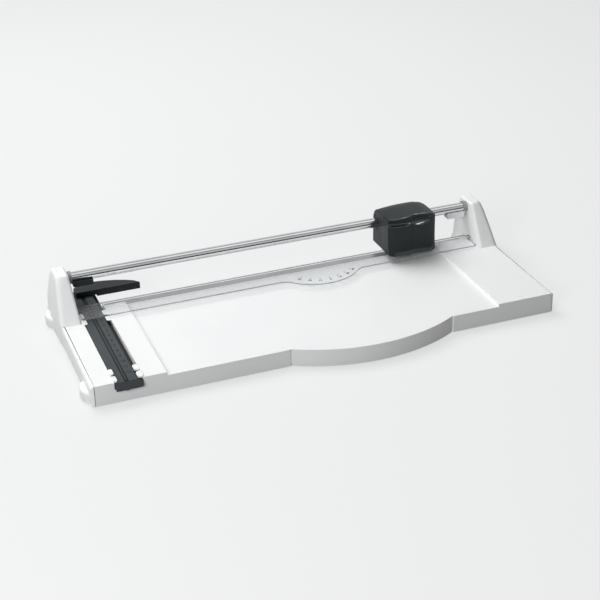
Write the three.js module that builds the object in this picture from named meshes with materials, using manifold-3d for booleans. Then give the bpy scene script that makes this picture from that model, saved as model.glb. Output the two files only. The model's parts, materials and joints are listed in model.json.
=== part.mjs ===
// A rotary paper trimmer for the desk, in millimetres.
// A moulded table carries a ground steel strip along its rear edge. Two end uprights hold a round
// guide rail above that strip. The cutting head runs on the rail: a sprung wheel blade shears the
// paper against the strip, while a shoe in the head presses the clear clamp strip on the paper.
// A gauge slide with a stop bar runs in a channel of the table and sets the width of narrow strips.
// X runs along the cut, Y from the front to the rear, Z up. The pieces are placed from the middle
// of the table's straight front wall, on the ground, and the group then moves to its own origin.
import * as THREE from 'three';
import { mergeVertices } from 'three/addons/utils/BufferGeometryUtils.js';
import Module from 'manifold-3d';

const wasm = await Module();
wasm.setup();

// Clearances
const fit = 0.3;
const overrun = 1;
const weld = 0.0001;

// Facet counts
const roundSides = 24;
const smallSides = 12;
const nutSides = 6;
const cornerSteps = 4;
const headSteps = 5;
const headInnerSteps = 3;
const outlineSteps = 2;
const arcSteps = 12;

// Table
const tableWidth = 445;
const tableDepth = 150;
const tableHeight = 21.3;
const groundGap = 1.2;
const tableWall = 2.5;
const bedDrop = 2.9;
const bedLeftMargin = 64.8;
const bedRightMargin = 55.6;
const bellyRightMargin = 184;
const bellyChord = 162.3;
const bellyReach = 20.9;
const bellyEndStep = 1.2;
const ribThickness = 1.6;
const ribsAcross = 7;
const ribsAlong = 2;

// Ledge and lower blade
const ledgeDepth = 6.5;
const bladeStripThickness = 2;
const bladeStripOverhang = 2.1;
const bladeStripLeftMargin = 44;
const bladeStripRightMargin = 22;
const bladeScrewCount = 5;
const bladeScrewMargin = 28;
const bladeScrewHeadRadius = 2.2;

// Gauge channel
const channelLeftMargin = 17.6;
const channelWidth = 25.6;
const channelDepth = 7.5;

// Gauge slide
const slideSideGap = 0.5;
const slideTopDrop = 0.8;
const slideWall = 1.6;
const slideLedgeWidth = 4.1;
const slideLedgeDrop = 3.5;
const slideGrooveMargin = 8.6;
const slideGrooveWidth = 4;
const slideGrooveDepth = 0.7;
const slideRearReach = 33;
const slideLipReach = 4.2;
const slideLipDrop = 5.2;
const slideLipEdge = 1.1;
const slideLipCornerRadius = 2.5;
const slideHoleRadius = 1;
const slideHoleY = 1.4;
const slidePointerWidth = 2.4;
const slidePointerReach = 1;
const lugRoot = 1.2;
const lugHeight = 1.1;
const lugReach = 3.2;
const lugCornerRadius = 1.8;
const frontLugNear = 0.6;
const rearLugInset = 37.4;
const lugLength = 9.6;
const lugGap = 3;

// Stop bar on the slide
const stopBarGap = 19;
const stopBarLeftMargin = 22.5;
const stopBarLength = 63.5;
const stopBarDepth = 19;
const stopBarRise = 5.7;
const stopBarDrop = 1.5;
const stopBarScrewShare = 0.4;
const stopBarScrewSpacing = 10;

// Uprights
const pillarFrontInset = 34.5;
const pillarFrontLean = 28.5;
const pillarRearReach = 28.5;
const pillarRearLean = 10.5;
const pillarReach = 4;
const pillarOuterLean = 7.1;
const pillarInner = 15.8;
const pillarInnerLean = 2.6;
const pillarRise = 37.2;
const pillarOuterRadius = 5;
const pillarInnerRadius = 3.2;
const pillarTopRound = 1.2;
const pillarPocketWall = 4;
const pillarPocketDrop = 6.3;
const skirtReach = 3.7;
const skirtShoulder = 4.3;
const skirtFrontRadius = 3;
const podReach = 9.5;
const podRadius = 18;
const podHeight = 11.5;
const podRound = 3.5;
const frontPodY = 21;
const rearPodReach = 15.5;
const flangeThickness = 3;
const flangeReach = 14;

// Feet and screws
const footRadius = 10;
const footHeight = 2.3;
const screwRadius = 1.4;
const screwHeadRadius = 3;
const screwHeadHeight = 1.2;
const flangeScrewX = 9;
const frontScrewY = 52;
const rearScrewInset = 46;
const flangeScrewLength = 11;
const bossWall = 2.3;

// Guide rail
const railRadius = 5;
const railReach = 6.1;
const railRise = 29.4;
const railSocketBottom = 5.5;
const ringSeatShare = 0.4;
const ringWall = 1;
const ringLength = 2.6;
const stopBlockEnd = 37;
const stopBlockWall = 2.2;
const stopBlockRise = 2.6;

// Clear clamp strip
const clampFrontInset = 31.9;
const clampRearInset = 5;
const clampRise = 4.4;
const clampThickness = 1.4;
const clampLeftMargin = 17.4;
const clampRightMargin = 19.5;
const clampBulgeOffset = 2.5;
const clampBulgeHalfWidth = 38.5;
const clampBulgeReach = 19.2;
const clampBulgeBlend = 7;
const clampTravel = 1.2;
const tongueWidth = 5;
const tongueInset = 7;
const tongueReach = 5.6;
const clampSpringRadius = 1.8;
const clampSpringDrop = 4.8;

// Cutting head
const headRightMargin = 87;
const headWidth = 52;
const headFrontInset = 23;
const headRearReach = 16;
const headBottomRise = 4.9;
const headHeight = 39.8;
const headDome = 2;
const headBulge = 3.6;
const headFlare = 3.5;
const headFlareHeight = 20;
const headEndRadius = 9;
const headEndInsetShare = 0.8;
const headEndDomeShare = 0.6;
const headShoulderDepth = 19;
const headShoulderDrop = 16;
const headLipRadius = 1.6;
const headWall = 2;
const headSplitInset = 4;
const capSeamRise = 37.4;
const headLipReach = 2.2;
const grooveLengthShare = 0.45;
const grooveRadius = 3.4;
const grooveDrop = 3.6;
const grooveSetShare = 0.1;
const thumbHalfWidth = 12;
const thumbHalfDepth = 4.4;
const thumbHalfHeight = 5;
const thumbDrop = 3;
const thumbSetOut = 1.2;
const thumbPlaceShare = 0.62;
const thumbBulgeShare = 0.75;
const headScrewInset = 4.5;
const headScrewLowRise = 10.8;
const headScrewHighRise = 34.2;
const headScrewSink = 7.6;
const headScrewTip = 6;
const headBossRadius = 2.9;
const bushWall = 1.9;
const bushLength = 9.5;
const bushGap = 0.2;
const bushRibThickness = 1.5;
const bushRibInset = 6.5;

// Wheel blade and its bearing
const wheelRadius = 14;
const wheelThickness = 1;
const wheelEdgeRound = 0.35;
const wheelEdgeWidth = 1.2;
const wheelDip = 1.9;
const hubRadius = 6.5;
const hubCoreRadius = 3.6;
const hubFrontLength = 2.9;
const hubCoreLength = 3.1;
const nutRadius = 6;
const nutLength = 1.4;
const axleRadius = 2;
const axleHeadRadius = 4;
const axleHeadLength = 1.5;
const carrierThickness = 2.3;
const carrierHeight = 16;
const carrierBottomGap = 2.3;
const bladeSpringRadius = 3.2;
const bladeSpringLength = 3;
const clipLength = 1.2;

// Pressing shoe in the head
const shoeSideGap = 8;
const shoeFrontInset = 20;
const shoeDepth = 12;
const shoeHeight = 7.5;
const shoeFlange = 2.2;
const shoeFlangeHeight = 1.5;
const shoeRamp = 3;
const shoeSpringRadius = 2.4;
const shoeSpringLength = 10;
const shoeSpringMargin = 7;
const shelfThickness = 1.6;
const ledgeReach = 7;
const springWireShare = 0.12;
const springPitchShare = 5;
const springLeastTurns = 2;
const springSteps = 8;
const springSides = 2;

// Levels and edges worked out from the sizes above
const left = -tableWidth / 2;
const right = tableWidth / 2;
const bedLevel = tableHeight - bedDrop;
const bellyMiddle = right - bellyRightMargin;
const ledgeFront = tableDepth - ledgeDepth;
const ledgeLevel = bedLevel - bladeStripThickness;
const bladeStripRear = tableDepth + bladeStripOverhang;
const channelLeft = left + channelLeftMargin;
const channelRight = channelLeft + channelWidth;
const channelFloor = tableHeight - channelDepth;
const slideLeft = channelLeft + slideSideGap;
const slideRight = channelRight - slideSideGap;
const slideTop = tableHeight - slideTopDrop;
const slideBottom = channelFloor + fit;
const slideLedgeTop = slideTop - slideLedgeDrop;
const slideRear = tableDepth + slideRearReach;
const rearLugNear = tableDepth - rearLugInset;
const stopBarFront = tableDepth + stopBarGap;
const stopBarTop = slideTop + stopBarRise;
const stopBarBottom = slideTop - stopBarDrop;
const pillarFront = tableDepth - pillarFrontInset;
const pillarRear = tableDepth + pillarRearReach;
const pillarHeight = tableHeight + pillarRise;
const pillarPocketTop = tableHeight - pillarPocketDrop;
const rearPodY = tableDepth + rearPodReach;
const flangeScrewYs = [frontScrewY, tableDepth - rearScrewInset];
const railY = tableDepth + railReach;
const railZ = tableHeight + railRise;
const clampFront = tableDepth - clampFrontInset;
const clampRear = tableDepth - clampRearInset;
const clampBottom = bedLevel + clampRise;
const clampTop = clampBottom + clampThickness;
const clampBulgeMiddle = bellyMiddle - clampBulgeOffset;
const clampSpringFloor = clampBottom - clampSpringDrop;
const headMiddle = right - headRightMargin;
const headFront = tableDepth - headFrontInset;
const headRear = tableDepth + headRearReach;
const headBottom = tableHeight + headBottomRise;
const headTop = headBottom + headHeight;
const headSplit = tableDepth - headSplitInset;
const capSeam = headBottom + capSeamRise;
const headScrewLow = headBottom + headScrewLowRise;
const headScrewHigh = headBottom + headScrewHighRise;
const shoeLength = headWidth - shoeSideGap * 2;
const shoeFront = tableDepth - shoeFrontInset;
const shoeSpringSpacing = shoeLength - shoeSpringMargin * 2;
const headLeft = headMiddle - headWidth / 2;
const headRight = headMiddle + headWidth / 2;
const wheelFront = bladeStripRear + fit;
const wheelRear = wheelFront + wheelThickness;
const wheelZ = bedLevel - wheelDip + wheelRadius;
const flangeTop = groundGap + flangeThickness;
const railInner = railRadius + fit;

function toSolid(geometry) {
  const bare = geometry.clone();
  bare.deleteAttribute('normal');
  bare.deleteAttribute('uv');
  const merged = mergeVertices(bare, weld);
  const vertProperties = Float32Array.from(merged.attributes.position.array);
  const triVerts = Uint32Array.from(merged.index.array);
  return new wasm.Manifold(new wasm.Mesh({ numProp: 3, vertProperties, triVerts }));
}

function toGeometry(solid) {
  const { vertProperties, triVerts } = solid.getMesh();
  const geometry = new THREE.BufferGeometry();
  geometry.setAttribute('position', new THREE.BufferAttribute(Float32Array.from(vertProperties), 3));
  geometry.setIndex(new THREE.BufferAttribute(Uint32Array.from(triVerts), 1));
  geometry.computeVertexNormals();
  return geometry;
}

function box(x0, x1, y0, y1, z0, z1) {
  const geometry = new THREE.BoxGeometry(x1 - x0, y1 - y0, z1 - z0);
  geometry.translate((x0 + x1) / 2, (y0 + y1) / 2, (z0 + z1) / 2);
  return toSolid(geometry);
}

// A plan outline in x and y, raised from z0 to z1.
function prismZ(shape, z0, z1, curveSegments = outlineSteps) {
  const options = { depth: z1 - z0, bevelEnabled: false, curveSegments };
  const geometry = new THREE.ExtrudeGeometry(shape, options);
  geometry.translate(0, 0, z0);
  return toSolid(geometry);
}

// A section in y and z, drawn along X.
function prismX(shape, x0, x1) {
  const options = { depth: x1 - x0, bevelEnabled: false, curveSegments: cornerSteps };
  const geometry = new THREE.ExtrudeGeometry(shape, options);
  const alongX = new THREE.Matrix4().makeBasis(
    new THREE.Vector3(0, 1, 0), new THREE.Vector3(0, 0, 1), new THREE.Vector3(1, 0, 0));
  geometry.applyMatrix4(alongX);
  geometry.translate(x0, 0, 0);
  return toSolid(geometry);
}

// A section in x and z, drawn along Y.
function prismY(shape, y0, y1) {
  const options = { depth: y1 - y0, bevelEnabled: false, curveSegments: cornerSteps };
  const geometry = new THREE.ExtrudeGeometry(shape, options);
  const alongY = new THREE.Matrix4().makeBasis(
    new THREE.Vector3(1, 0, 0), new THREE.Vector3(0, 0, 1), new THREE.Vector3(0, -1, 0));
  geometry.applyMatrix4(alongY);
  geometry.translate(0, y1, 0);
  return toSolid(geometry);
}

function turnedX(geometry, x, y, z) {
  geometry.rotateZ(-Math.PI / 2);
  geometry.translate(x, y, z);
  return toSolid(geometry);
}

function turnedY(geometry, x, y, z) {
  geometry.translate(x, y, z);
  return toSolid(geometry);
}

function turnedZ(geometry, x, y, z) {
  geometry.rotateX(Math.PI / 2);
  geometry.translate(x, y, z);
  return toSolid(geometry);
}

function rodX(radius, x0, x1, y, z, sides = roundSides) {
  const geometry = new THREE.CylinderGeometry(radius, radius, x1 - x0, sides);
  return turnedX(geometry, (x0 + x1) / 2, y, z);
}

function rodY(radius, y0, y1, x, z, sides = roundSides) {
  const geometry = new THREE.CylinderGeometry(radius, radius, y1 - y0, sides);
  return turnedY(geometry, x, (y0 + y1) / 2, z);
}

function rodZ(radius, z0, z1, x, y, sides = roundSides) {
  const geometry = new THREE.CylinderGeometry(radius, radius, z1 - z0, sides);
  return turnedZ(geometry, x, y, (z0 + z1) / 2);
}

function polygon(points) {
  const shape = new THREE.Shape();
  shape.moveTo(points[0][0], points[0][1]);
  points.slice(1).forEach(([a, b]) => shape.lineTo(a, b));
  shape.closePath();
  return shape;
}

function roundedRectangle(x0, x1, y0, y1, radius) {
  const shape = new THREE.Shape();
  shape.absarc(x1 - radius, y1 - radius, radius, 0, Math.PI / 2);
  shape.absarc(x0 + radius, y1 - radius, radius, Math.PI / 2, Math.PI);
  shape.absarc(x0 + radius, y0 + radius, radius, Math.PI, Math.PI * 3 / 2);
  shape.absarc(x1 - radius, y0 + radius, radius, Math.PI * 3 / 2, Math.PI * 2);
  shape.closePath();
  return shape;
}

// A closed skin through rings of points with equal counts, with a flat cap at each end.
function loft(rings) {
  const count = rings[0].length;
  const positions = rings.flat().flatMap((point) => point.toArray());
  const indices = [];
  for (let ring = 0; ring < rings.length - 1; ring += 1) {
    for (let step = 0; step < count; step += 1) {
      const a = ring * count + step;
      const b = ring * count + (step + 1) % count;
      indices.push(a, b, b + count, a, b + count, a + count);
    }
  }
  const last = (rings.length - 1) * count;
  for (let step = 1; step < count - 1; step += 1) {
    indices.push(0, step + 1, step);
    indices.push(last, last + step, last + step + 1);
  }
  const geometry = new THREE.BufferGeometry();
  geometry.setAttribute('position', new THREE.Float32BufferAttribute(positions, 3));
  geometry.setIndex(indices);
  return geometry;
}

function mirrorAcrossX(geometry) {
  const mirrored = geometry.clone();
  mirrored.applyMatrix4(new THREE.Matrix4().makeScale(-1, 1, 1));
  const index = Array.from(mirrored.index.array);
  for (let corner = 0; corner < index.length; corner += 3) {
    [index[corner + 1], index[corner + 2]] = [index[corner + 2], index[corner + 1]];
  }
  mirrored.setIndex(index);
  mirrored.computeVertexNormals();
  return mirrored;
}

class Helix extends THREE.Curve {
  constructor(radius, length, turns) {
    super();
    this.radius = radius;
    this.length = length;
    this.turns = turns;
  }

  getPoint(share, target = new THREE.Vector3()) {
    const angle = share * this.turns * Math.PI * 2;
    return target.set(
      this.radius * Math.cos(angle), this.radius * Math.sin(angle), this.length * share);
  }
}

// A coil spring standing on z0, as tall as length, made of one wire.
function coil(radius, length) {
  const wire = radius * springWireShare;
  const section = new THREE.Shape();
  section.absarc(0, 0, wire, 0, Math.PI * 2);
  const rise = length - 2 * wire;
  const turns = Math.max(springLeastTurns, Math.floor(rise / (wire * springPitchShare)));
  const path = new Helix(radius - wire, rise, turns);
  const geometry = new THREE.ExtrudeGeometry(section, {
    steps: turns * springSteps,
    curveSegments: springSides,
    extrudePath: path,
    bevelEnabled: false,
  });
  geometry.translate(0, 0, wire);
  return geometry;
}

const whitePlastic = new THREE.MeshStandardMaterial({ color: 0xf1f2f3, roughness: 0.45, metalness: 0 });
const charcoalPlastic = new THREE.MeshStandardMaterial({ color: 0x2b2f33, roughness: 0.5, metalness: 0 });
const clearPlastic = new THREE.MeshStandardMaterial({
  color: 0xe4eaec, roughness: 0.1, metalness: 0, transparent: true, opacity: 0.4 });
const greyPlastic = new THREE.MeshStandardMaterial({ color: 0x8a8f93, roughness: 0.5, metalness: 0 });
const polishedSteel = new THREE.MeshStandardMaterial({ color: 0xd8dadc, roughness: 0.12, metalness: 1 });
const groundSteel = new THREE.MeshStandardMaterial({ color: 0xa7abae, roughness: 0.35, metalness: 1 });
const screwSteel = new THREE.MeshStandardMaterial({ color: 0x9a9ea1, roughness: 0.4, metalness: 1 });
const darkRubber = new THREE.MeshStandardMaterial({ color: 0x2a2a2b, roughness: 0.85, metalness: 0 });

const group = new THREE.Group();

function addGeometry(name, geometry, material) {
  const mesh = new THREE.Mesh(geometry, material);
  mesh.name = name;
  group.add(mesh);
}

function addPiece(name, solid, material) {
  addGeometry(name, toGeometry(solid), material);
}

// The table's plan, drawn inset by a wall: straight front wall, bow front, notches for the pillars.
const notchWidth = pillarInner + fit;
const notchFront = pillarFront - fit;

function tableOutline(inset, rear) {
  const halfChord = bellyChord / 2 - inset;
  const sagitta = bellyReach + bellyEndStep;
  const radius = ((bellyChord / 2) ** 2 + sagitta ** 2) / (2 * sagitta);
  const centreY = radius - bellyReach;
  const innerRadius = radius - inset;
  const reachY = centreY - Math.sqrt(innerRadius ** 2 - halfChord ** 2);
  const start = Math.atan2(reachY - centreY, -halfChord);
  const end = Math.atan2(reachY - centreY, halfChord);
  const shape = new THREE.Shape();
  shape.moveTo(left + inset, inset);
  shape.lineTo(bellyMiddle - halfChord, inset);
  shape.absarc(bellyMiddle, centreY, innerRadius, start, end);
  shape.lineTo(bellyMiddle + halfChord, inset);
  shape.lineTo(right - inset, inset);
  shape.lineTo(right - inset, notchFront - inset);
  shape.lineTo(right - notchWidth - inset, notchFront - inset);
  shape.lineTo(right - notchWidth - inset, rear);
  shape.lineTo(left + notchWidth + inset, rear);
  shape.lineTo(left + notchWidth + inset, notchFront - inset);
  shape.lineTo(left + inset, notchFront - inset);
  shape.closePath();
  return shape;
}

const farLeft = left - tableWall;
const farRight = right + tableWall;
const farFront = -bellyReach - overrun;
const farRear = tableDepth + overrun;
const bossRadius = screwRadius + fit + bossWall;

function bladeScrewPlaces() {
  const first = left + bladeStripLeftMargin + bladeScrewMargin;
  const last = right - bladeStripRightMargin - bladeScrewMargin;
  const places = [];
  for (let screw = 0; screw < bladeScrewCount; screw += 1) {
    places.push(first + (last - first) * screw / (bladeScrewCount - 1));
  }
  return places;
}

const bladeScrewY = tableDepth - tableWall - fit - bladeScrewHeadRadius;
const ledgeUnderside = ledgeLevel - tableWall;
const bladeScrewSeat = ledgeUnderside - bossWall;

// The hollow under the table: walls, a grid of ribs and the screw bosses are left standing in it.
function tableHollow() {
  const sideTop = tableHeight - tableWall;
  const bedTop = bedLevel - tableWall;
  const channelTop = channelFloor - tableWall + fit;
  let hollow = prismZ(
    tableOutline(tableWall, tableDepth - tableWall), -overrun, sideTop, arcSteps);
  const bedX0 = left + bedLeftMargin - tableWall;
  const bedX1 = right - bedRightMargin + tableWall;
  hollow = hollow.subtract(box(bedX0, bedX1, farFront, farRear, bedTop, tableHeight));
  hollow = hollow.subtract(box(
    channelLeft - tableWall, channelRight + tableWall, farFront, farRear, channelTop, tableHeight));
  hollow = hollow.subtract(box(
    left + bladeStripLeftMargin - tableWall, right - bladeStripRightMargin + tableWall,
    ledgeFront - tableWall, farRear, ledgeUnderside, tableHeight));
  for (let rib = 1; rib <= ribsAcross; rib += 1) {
    const x = left + tableWidth * rib / (ribsAcross + 1);
    hollow = hollow.subtract(box(
      x - ribThickness / 2, x + ribThickness / 2, farFront, farRear, flangeTop + fit, tableHeight));
  }
  for (let rib = 1; rib <= ribsAlong; rib += 1) {
    const y = notchFront * rib / (ribsAlong + 1) + tableWall;
    hollow = hollow.subtract(box(
      farLeft, farRight, y - ribThickness / 2, y + ribThickness / 2, flangeTop + fit, tableHeight));
  }
  [left + flangeScrewX, right - flangeScrewX].forEach((x) => {
    flangeScrewYs.forEach((y) => {
      hollow = hollow.subtract(rodZ(bossRadius, flangeTop + fit, tableHeight, x, y, smallSides));
    });
  });
  bladeScrewPlaces().forEach((x) => {
    hollow = hollow.subtract(rodZ(bossRadius, bladeScrewSeat, tableHeight, x, bladeScrewY, smallSides));
  });
  return hollow;
}

// The near end and the top of each lug: the rear ones lie flush, under the clamp strip.
function lugPlaces() {
  const step = lugLength + lugGap;
  return [
    [frontLugNear, tableHeight + lugHeight],
    [frontLugNear + step, tableHeight + lugHeight],
    [rearLugNear, tableHeight],
    [rearLugNear + step, tableHeight],
  ];
}

// The lugs are moulded on the table beside the channel and reach over the slide's edges.
function channelLugs() {
  const lugs = [];
  lugPlaces().forEach(([near, top]) => {
    const far = near + lugLength;
    const leftLug = roundedRectangle(
      channelLeft - lugRoot, channelLeft + lugReach, near, far, lugCornerRadius);
    lugs.push(prismZ(leftLug, slideTop + fit, top));
    const rightLug = roundedRectangle(
      slideRight - slideLedgeWidth + fit, channelRight + lugRoot, near, far, lugCornerRadius);
    lugs.push(prismZ(rightLug, slideTop + fit, top));
  });
  return lugs;
}

function makeTable() {
  let table = prismZ(tableOutline(0, tableDepth), groundGap, tableHeight, arcSteps);
  table = table.subtract(box(
    left + bedLeftMargin, right - bedRightMargin, farFront, farRear, bedLevel, tableHeight + overrun));
  table = table.subtract(box(
    left + bladeStripLeftMargin, right - bladeStripRightMargin,
    ledgeFront, farRear, ledgeLevel, tableHeight + overrun));
  table = table.subtract(box(
    channelLeft, channelRight, farFront, farRear, channelFloor, tableHeight + overrun));
  table = table.subtract(tableHollow());
  // The uprights' flanges pass under the side walls and the walls of the notches.
  const flangeEdge = flangeReach + fit;
  [[farLeft, left + flangeEdge], [right - flangeEdge, farRight]].forEach(([x0, x1]) => {
    table = table.subtract(box(x0, x1, tableWall, farRear, -overrun, flangeTop + fit));
  });
  [left, right].forEach((edge) => {
    const inward = -Math.sign(edge);
    flangeScrewYs.forEach((y) => {
      const x = edge + inward * flangeScrewX;
      const top = groundGap + flangeScrewLength + fit + overrun;
      table = table.subtract(rodZ(screwRadius + fit, -overrun, top, x, y, smallSides));
    });
  });
  bladeScrewPlaces().forEach((x) => {
    table = table.subtract(rodZ(screwRadius + fit, -overrun, tableHeight, x, bladeScrewY, smallSides));
  });
  channelLugs().forEach((lug) => {
    table = table.add(lug);
  });
  return table;
}

// One pillar station: a rounded rectangle in plan, with a large radius at the outer front corner.
function pillarRing(z, front, rear, outer, inner) {
  const corners = [
    [inner, front, pillarInnerRadius, Math.PI * 3 / 2],
    [inner, rear, pillarInnerRadius, 0],
    [outer, rear, pillarInnerRadius, Math.PI / 2],
    [outer, front, pillarOuterRadius, Math.PI],
  ];
  const middleX = (inner + outer) / 2;
  const middleY = (front + rear) / 2;
  const halfWidth = (inner - outer) / 2;
  const ring = [];
  corners.forEach(([x, y, radius, start]) => {
    const rounded = Math.min(radius, halfWidth);
    const centreX = x + Math.sign(middleX - x) * rounded;
    const centreY = y + Math.sign(middleY - y) * rounded;
    for (let step = 0; step <= cornerSteps; step += 1) {
      const angle = start + Math.PI / 2 * step / cornerSteps;
      ring.push(new THREE.Vector3(
        centreX + rounded * Math.cos(angle), centreY + rounded * Math.sin(angle), z));
    }
  });
  return ring;
}

// Height, front lean, rear lean, outer lean and inner lean, each as a share of its full value.
const pillarStationShares = [
  [0.02, 0, -0.69, -0.06, 0],
  [0.24, 0, -0.05, -0.04, 0],
  [0.364, 0, 0, 0, 0],
  [0.58, 0.34, 0.08, 0.19, 0.34],
  [0.85, 0.77, 0.62, 0.47, 0.77],
  [0.97, 0.96, 0.85, 0.72, 0.96],
];

function makePillar() {
  const rings = pillarStationShares.map(([height, front, rear, outer, inner]) => pillarRing(
    pillarHeight * height,
    pillarFront + pillarFrontLean * front,
    pillarRear - pillarRearLean * rear,
    left - pillarReach + pillarOuterLean * outer,
    left + pillarInner - pillarInnerLean * inner));
  rings.push(pillarRing(
    pillarHeight,
    pillarFront + pillarFrontLean + pillarTopRound,
    pillarRear - pillarRearLean - pillarTopRound,
    left - pillarReach + pillarOuterLean,
    left + pillarInner - pillarInnerLean - pillarTopRound));
  return toSolid(loft(rings));
}

function makePod(y) {
  const profile = [
    new THREE.Vector2(0, 0),
    new THREE.Vector2(podRadius, 0),
    new THREE.Vector2(podRadius, podHeight - groundGap - podRound),
  ];
  for (let step = 1; step <= cornerSteps; step += 1) {
    const angle = Math.PI / 2 * step / cornerSteps;
    profile.push(new THREE.Vector2(
      podRadius - podRound * (1 - Math.cos(angle)),
      podHeight - groundGap - podRound * (1 - Math.sin(angle))));
  }
  profile.push(new THREE.Vector2(0, podHeight - groundGap));
  const geometry = new THREE.LatheGeometry(profile, roundSides);
  geometry.rotateX(Math.PI / 2);
  geometry.translate(left - podReach + podRadius, y, groundGap);
  const pod = toSolid(geometry);
  const innerPart = box(
    left - fit, left - podReach + podRadius * 2 + overrun,
    y - podRadius - overrun, y + podRadius + overrun, flangeTop, podHeight + overrun);
  return pod.subtract(innerPart);
}

// The skirt's rounded shoulder: reach outwards and drop, as shares of its whole reach and shoulder.
const skirtShoulderShares = [[0.4, 0.06], [0.85, 0.45], [1, 1]];
const skirtFootShare = 0.93;

function makeSkirt() {
  const shoulder = skirtShoulderShares.map(([reach, drop]) => [
    left - skirtReach * reach, tableHeight - skirtShoulder * drop]);
  const section = polygon([
    [left - fit, groundGap],
    [left - fit, tableHeight],
    ...shoulder,
    [left - skirtReach * skirtFootShare, groundGap],
  ]);
  const band = prismY(section, 0, rearPodY);
  const plan = new THREE.Shape();
  plan.moveTo(left, 0);
  plan.lineTo(left, rearPodY + overrun);
  plan.lineTo(left - skirtReach, rearPodY + overrun);
  plan.lineTo(left - skirtReach, skirtFrontRadius);
  plan.absarc(
    left - skirtReach + skirtFrontRadius, skirtFrontRadius, skirtFrontRadius, Math.PI, Math.PI * 3 / 2);
  plan.closePath();
  return band.intersect(prismZ(plan, 0, tableHeight + overrun));
}

const tongueFront = clampRear - tongueInset;
const tongueMiddleY = tongueFront + tongueWidth / 2;
const tongueTip = left + pillarInner - tongueReach;
const springX = tongueTip + clampSpringRadius + fit;

// The left upright: pillar, side skirt, two foot pods and the flange that screws under the table.
function makeUpright() {
  let upright = makePillar().add(makeSkirt());
  upright = upright.add(box(
    left - fit - overrun, left + flangeReach, tableWall + fit, rearPodY, groundGap, flangeTop));
  [frontPodY, rearPodY].forEach((y) => {
    upright = upright.add(makePod(y));
    upright = upright.subtract(rodZ(
      footRadius + fit, -overrun, footHeight + fit, left - podReach + podRadius, y));
  });
  // The rear pod stays clear of the table's rear wall.
  upright = upright.subtract(box(
    left + pillarInner, left + podRadius * 2, notchFront, tableDepth + fit, 0, flangeTop + overrun));
  flangeScrewYs.forEach((y) => {
    const x = left + flangeScrewX;
    upright = upright.subtract(rodZ(screwRadius + fit, -overrun, flangeTop + overrun, x, y, smallSides));
    upright = upright.subtract(rodZ(
      screwHeadRadius + fit, -overrun, groundGap + screwHeadHeight + fit * 2, x, y, smallSides));
  });
  upright = upright.subtract(rodX(
    railInner, left + railSocketBottom, left + pillarInner + overrun, railY, railZ));
  upright = upright.subtract(box(
    tongueTip - fit, left + pillarInner + overrun,
    tongueFront - fit, tongueFront + tongueWidth + fit,
    clampBottom - clampTravel - fit, clampTop + fit));
  upright = upright.subtract(rodZ(
    clampSpringRadius + fit, clampSpringFloor, clampBottom, springX, tongueMiddleY, smallSides));
  upright = upright.subtract(box(
    left + pillarPocketWall / 2, left + pillarInner - pillarPocketWall,
    pillarFront + pillarPocketWall, rearPodY - footRadius - pillarPocketWall,
    -overrun, pillarPocketTop));
  return upright;
}

// A screw driven upwards: its head hangs below headTop and its shank reaches up to tip.
function makeScrewUp(x, y, headTop, tip, headRadius = screwHeadRadius) {
  const head = rodZ(headRadius, headTop - screwHeadHeight, headTop, x, y, smallSides);
  return head.add(rodZ(screwRadius, headTop - screwHeadHeight / 2, tip, x, y, smallSides));
}

function makeFoot(y) {
  return rodZ(footRadius, 0, footHeight, left - podReach + podRadius, y);
}

function ringAlongX(inner, outer, x0, x1) {
  const ring = rodX(outer, x0, x1, railY, railZ);
  return ring.subtract(rodX(inner, x0 - overrun, x1 + overrun, railY, railZ));
}

const railEnd = left + railSocketBottom + fit;
const ringStart = left + pillarInner - pillarInnerLean * ringSeatShare;
const blockStart = ringStart + ringLength + fit;

// A saddle under the rail that the head meets at the end of its travel.
function makeStopBlock() {
  const half = railInner + stopBlockWall;
  const bottom = railZ - railRadius - stopBlockRise;
  const saddle = box(
    blockStart, left + stopBlockEnd, railY - half, railY + half, bottom, railZ - stopBlockWall);
  return saddle.subtract(rodX(
    railInner, blockStart - overrun, left + stopBlockEnd + overrun, railY, railZ));
}

function makeLowerBlade() {
  return box(
    left + bladeStripLeftMargin + fit, right - bladeStripRightMargin - fit,
    ledgeFront + fit, bladeStripRear, ledgeLevel, bedLevel);
}

// The clamp strip's plan: a straight front edge with one rounded bulge that carries the angle marks.
function clampOutline() {
  const half = clampBulgeHalfWidth;
  const radius = (half ** 2 + clampBulgeReach ** 2) / (2 * clampBulgeReach);
  const centreY = clampFront - clampBulgeReach + radius;
  const turn = Math.asin(half / radius);
  const inTurn = turn - clampBulgeBlend / radius;
  const startX = clampBulgeMiddle - half;
  const endX = clampBulgeMiddle + half;
  const shape = new THREE.Shape();
  const arcX = radius * Math.sin(inTurn);
  const arcY = centreY - radius * Math.cos(inTurn);
  shape.moveTo(left + clampLeftMargin, clampFront);
  shape.lineTo(startX - clampBulgeBlend, clampFront);
  shape.quadraticCurveTo(startX, clampFront, clampBulgeMiddle - arcX, arcY);
  shape.absarc(
    clampBulgeMiddle, centreY, radius, -Math.PI / 2 - inTurn, -Math.PI / 2 + inTurn);
  shape.quadraticCurveTo(endX, clampFront, endX + clampBulgeBlend, clampFront);
  shape.lineTo(right - clampRightMargin, clampFront);
  shape.lineTo(right - clampRightMargin, clampRear);
  shape.lineTo(left + clampLeftMargin, clampRear);
  shape.closePath();
  return shape;
}

function makeClampStrip() {
  const strip = prismZ(clampOutline(), clampBottom, clampTop, arcSteps);
  const tongueEnd = tongueFront + tongueWidth;
  const leftTongue = box(
    tongueTip, left + clampLeftMargin + overrun, tongueFront, tongueEnd, clampBottom, clampTop);
  const rightTongue = box(
    right - clampRightMargin - overrun, -tongueTip, tongueFront, tongueEnd, clampBottom, clampTop);
  return strip.add(leftTongue).add(rightTongue);
}

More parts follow.
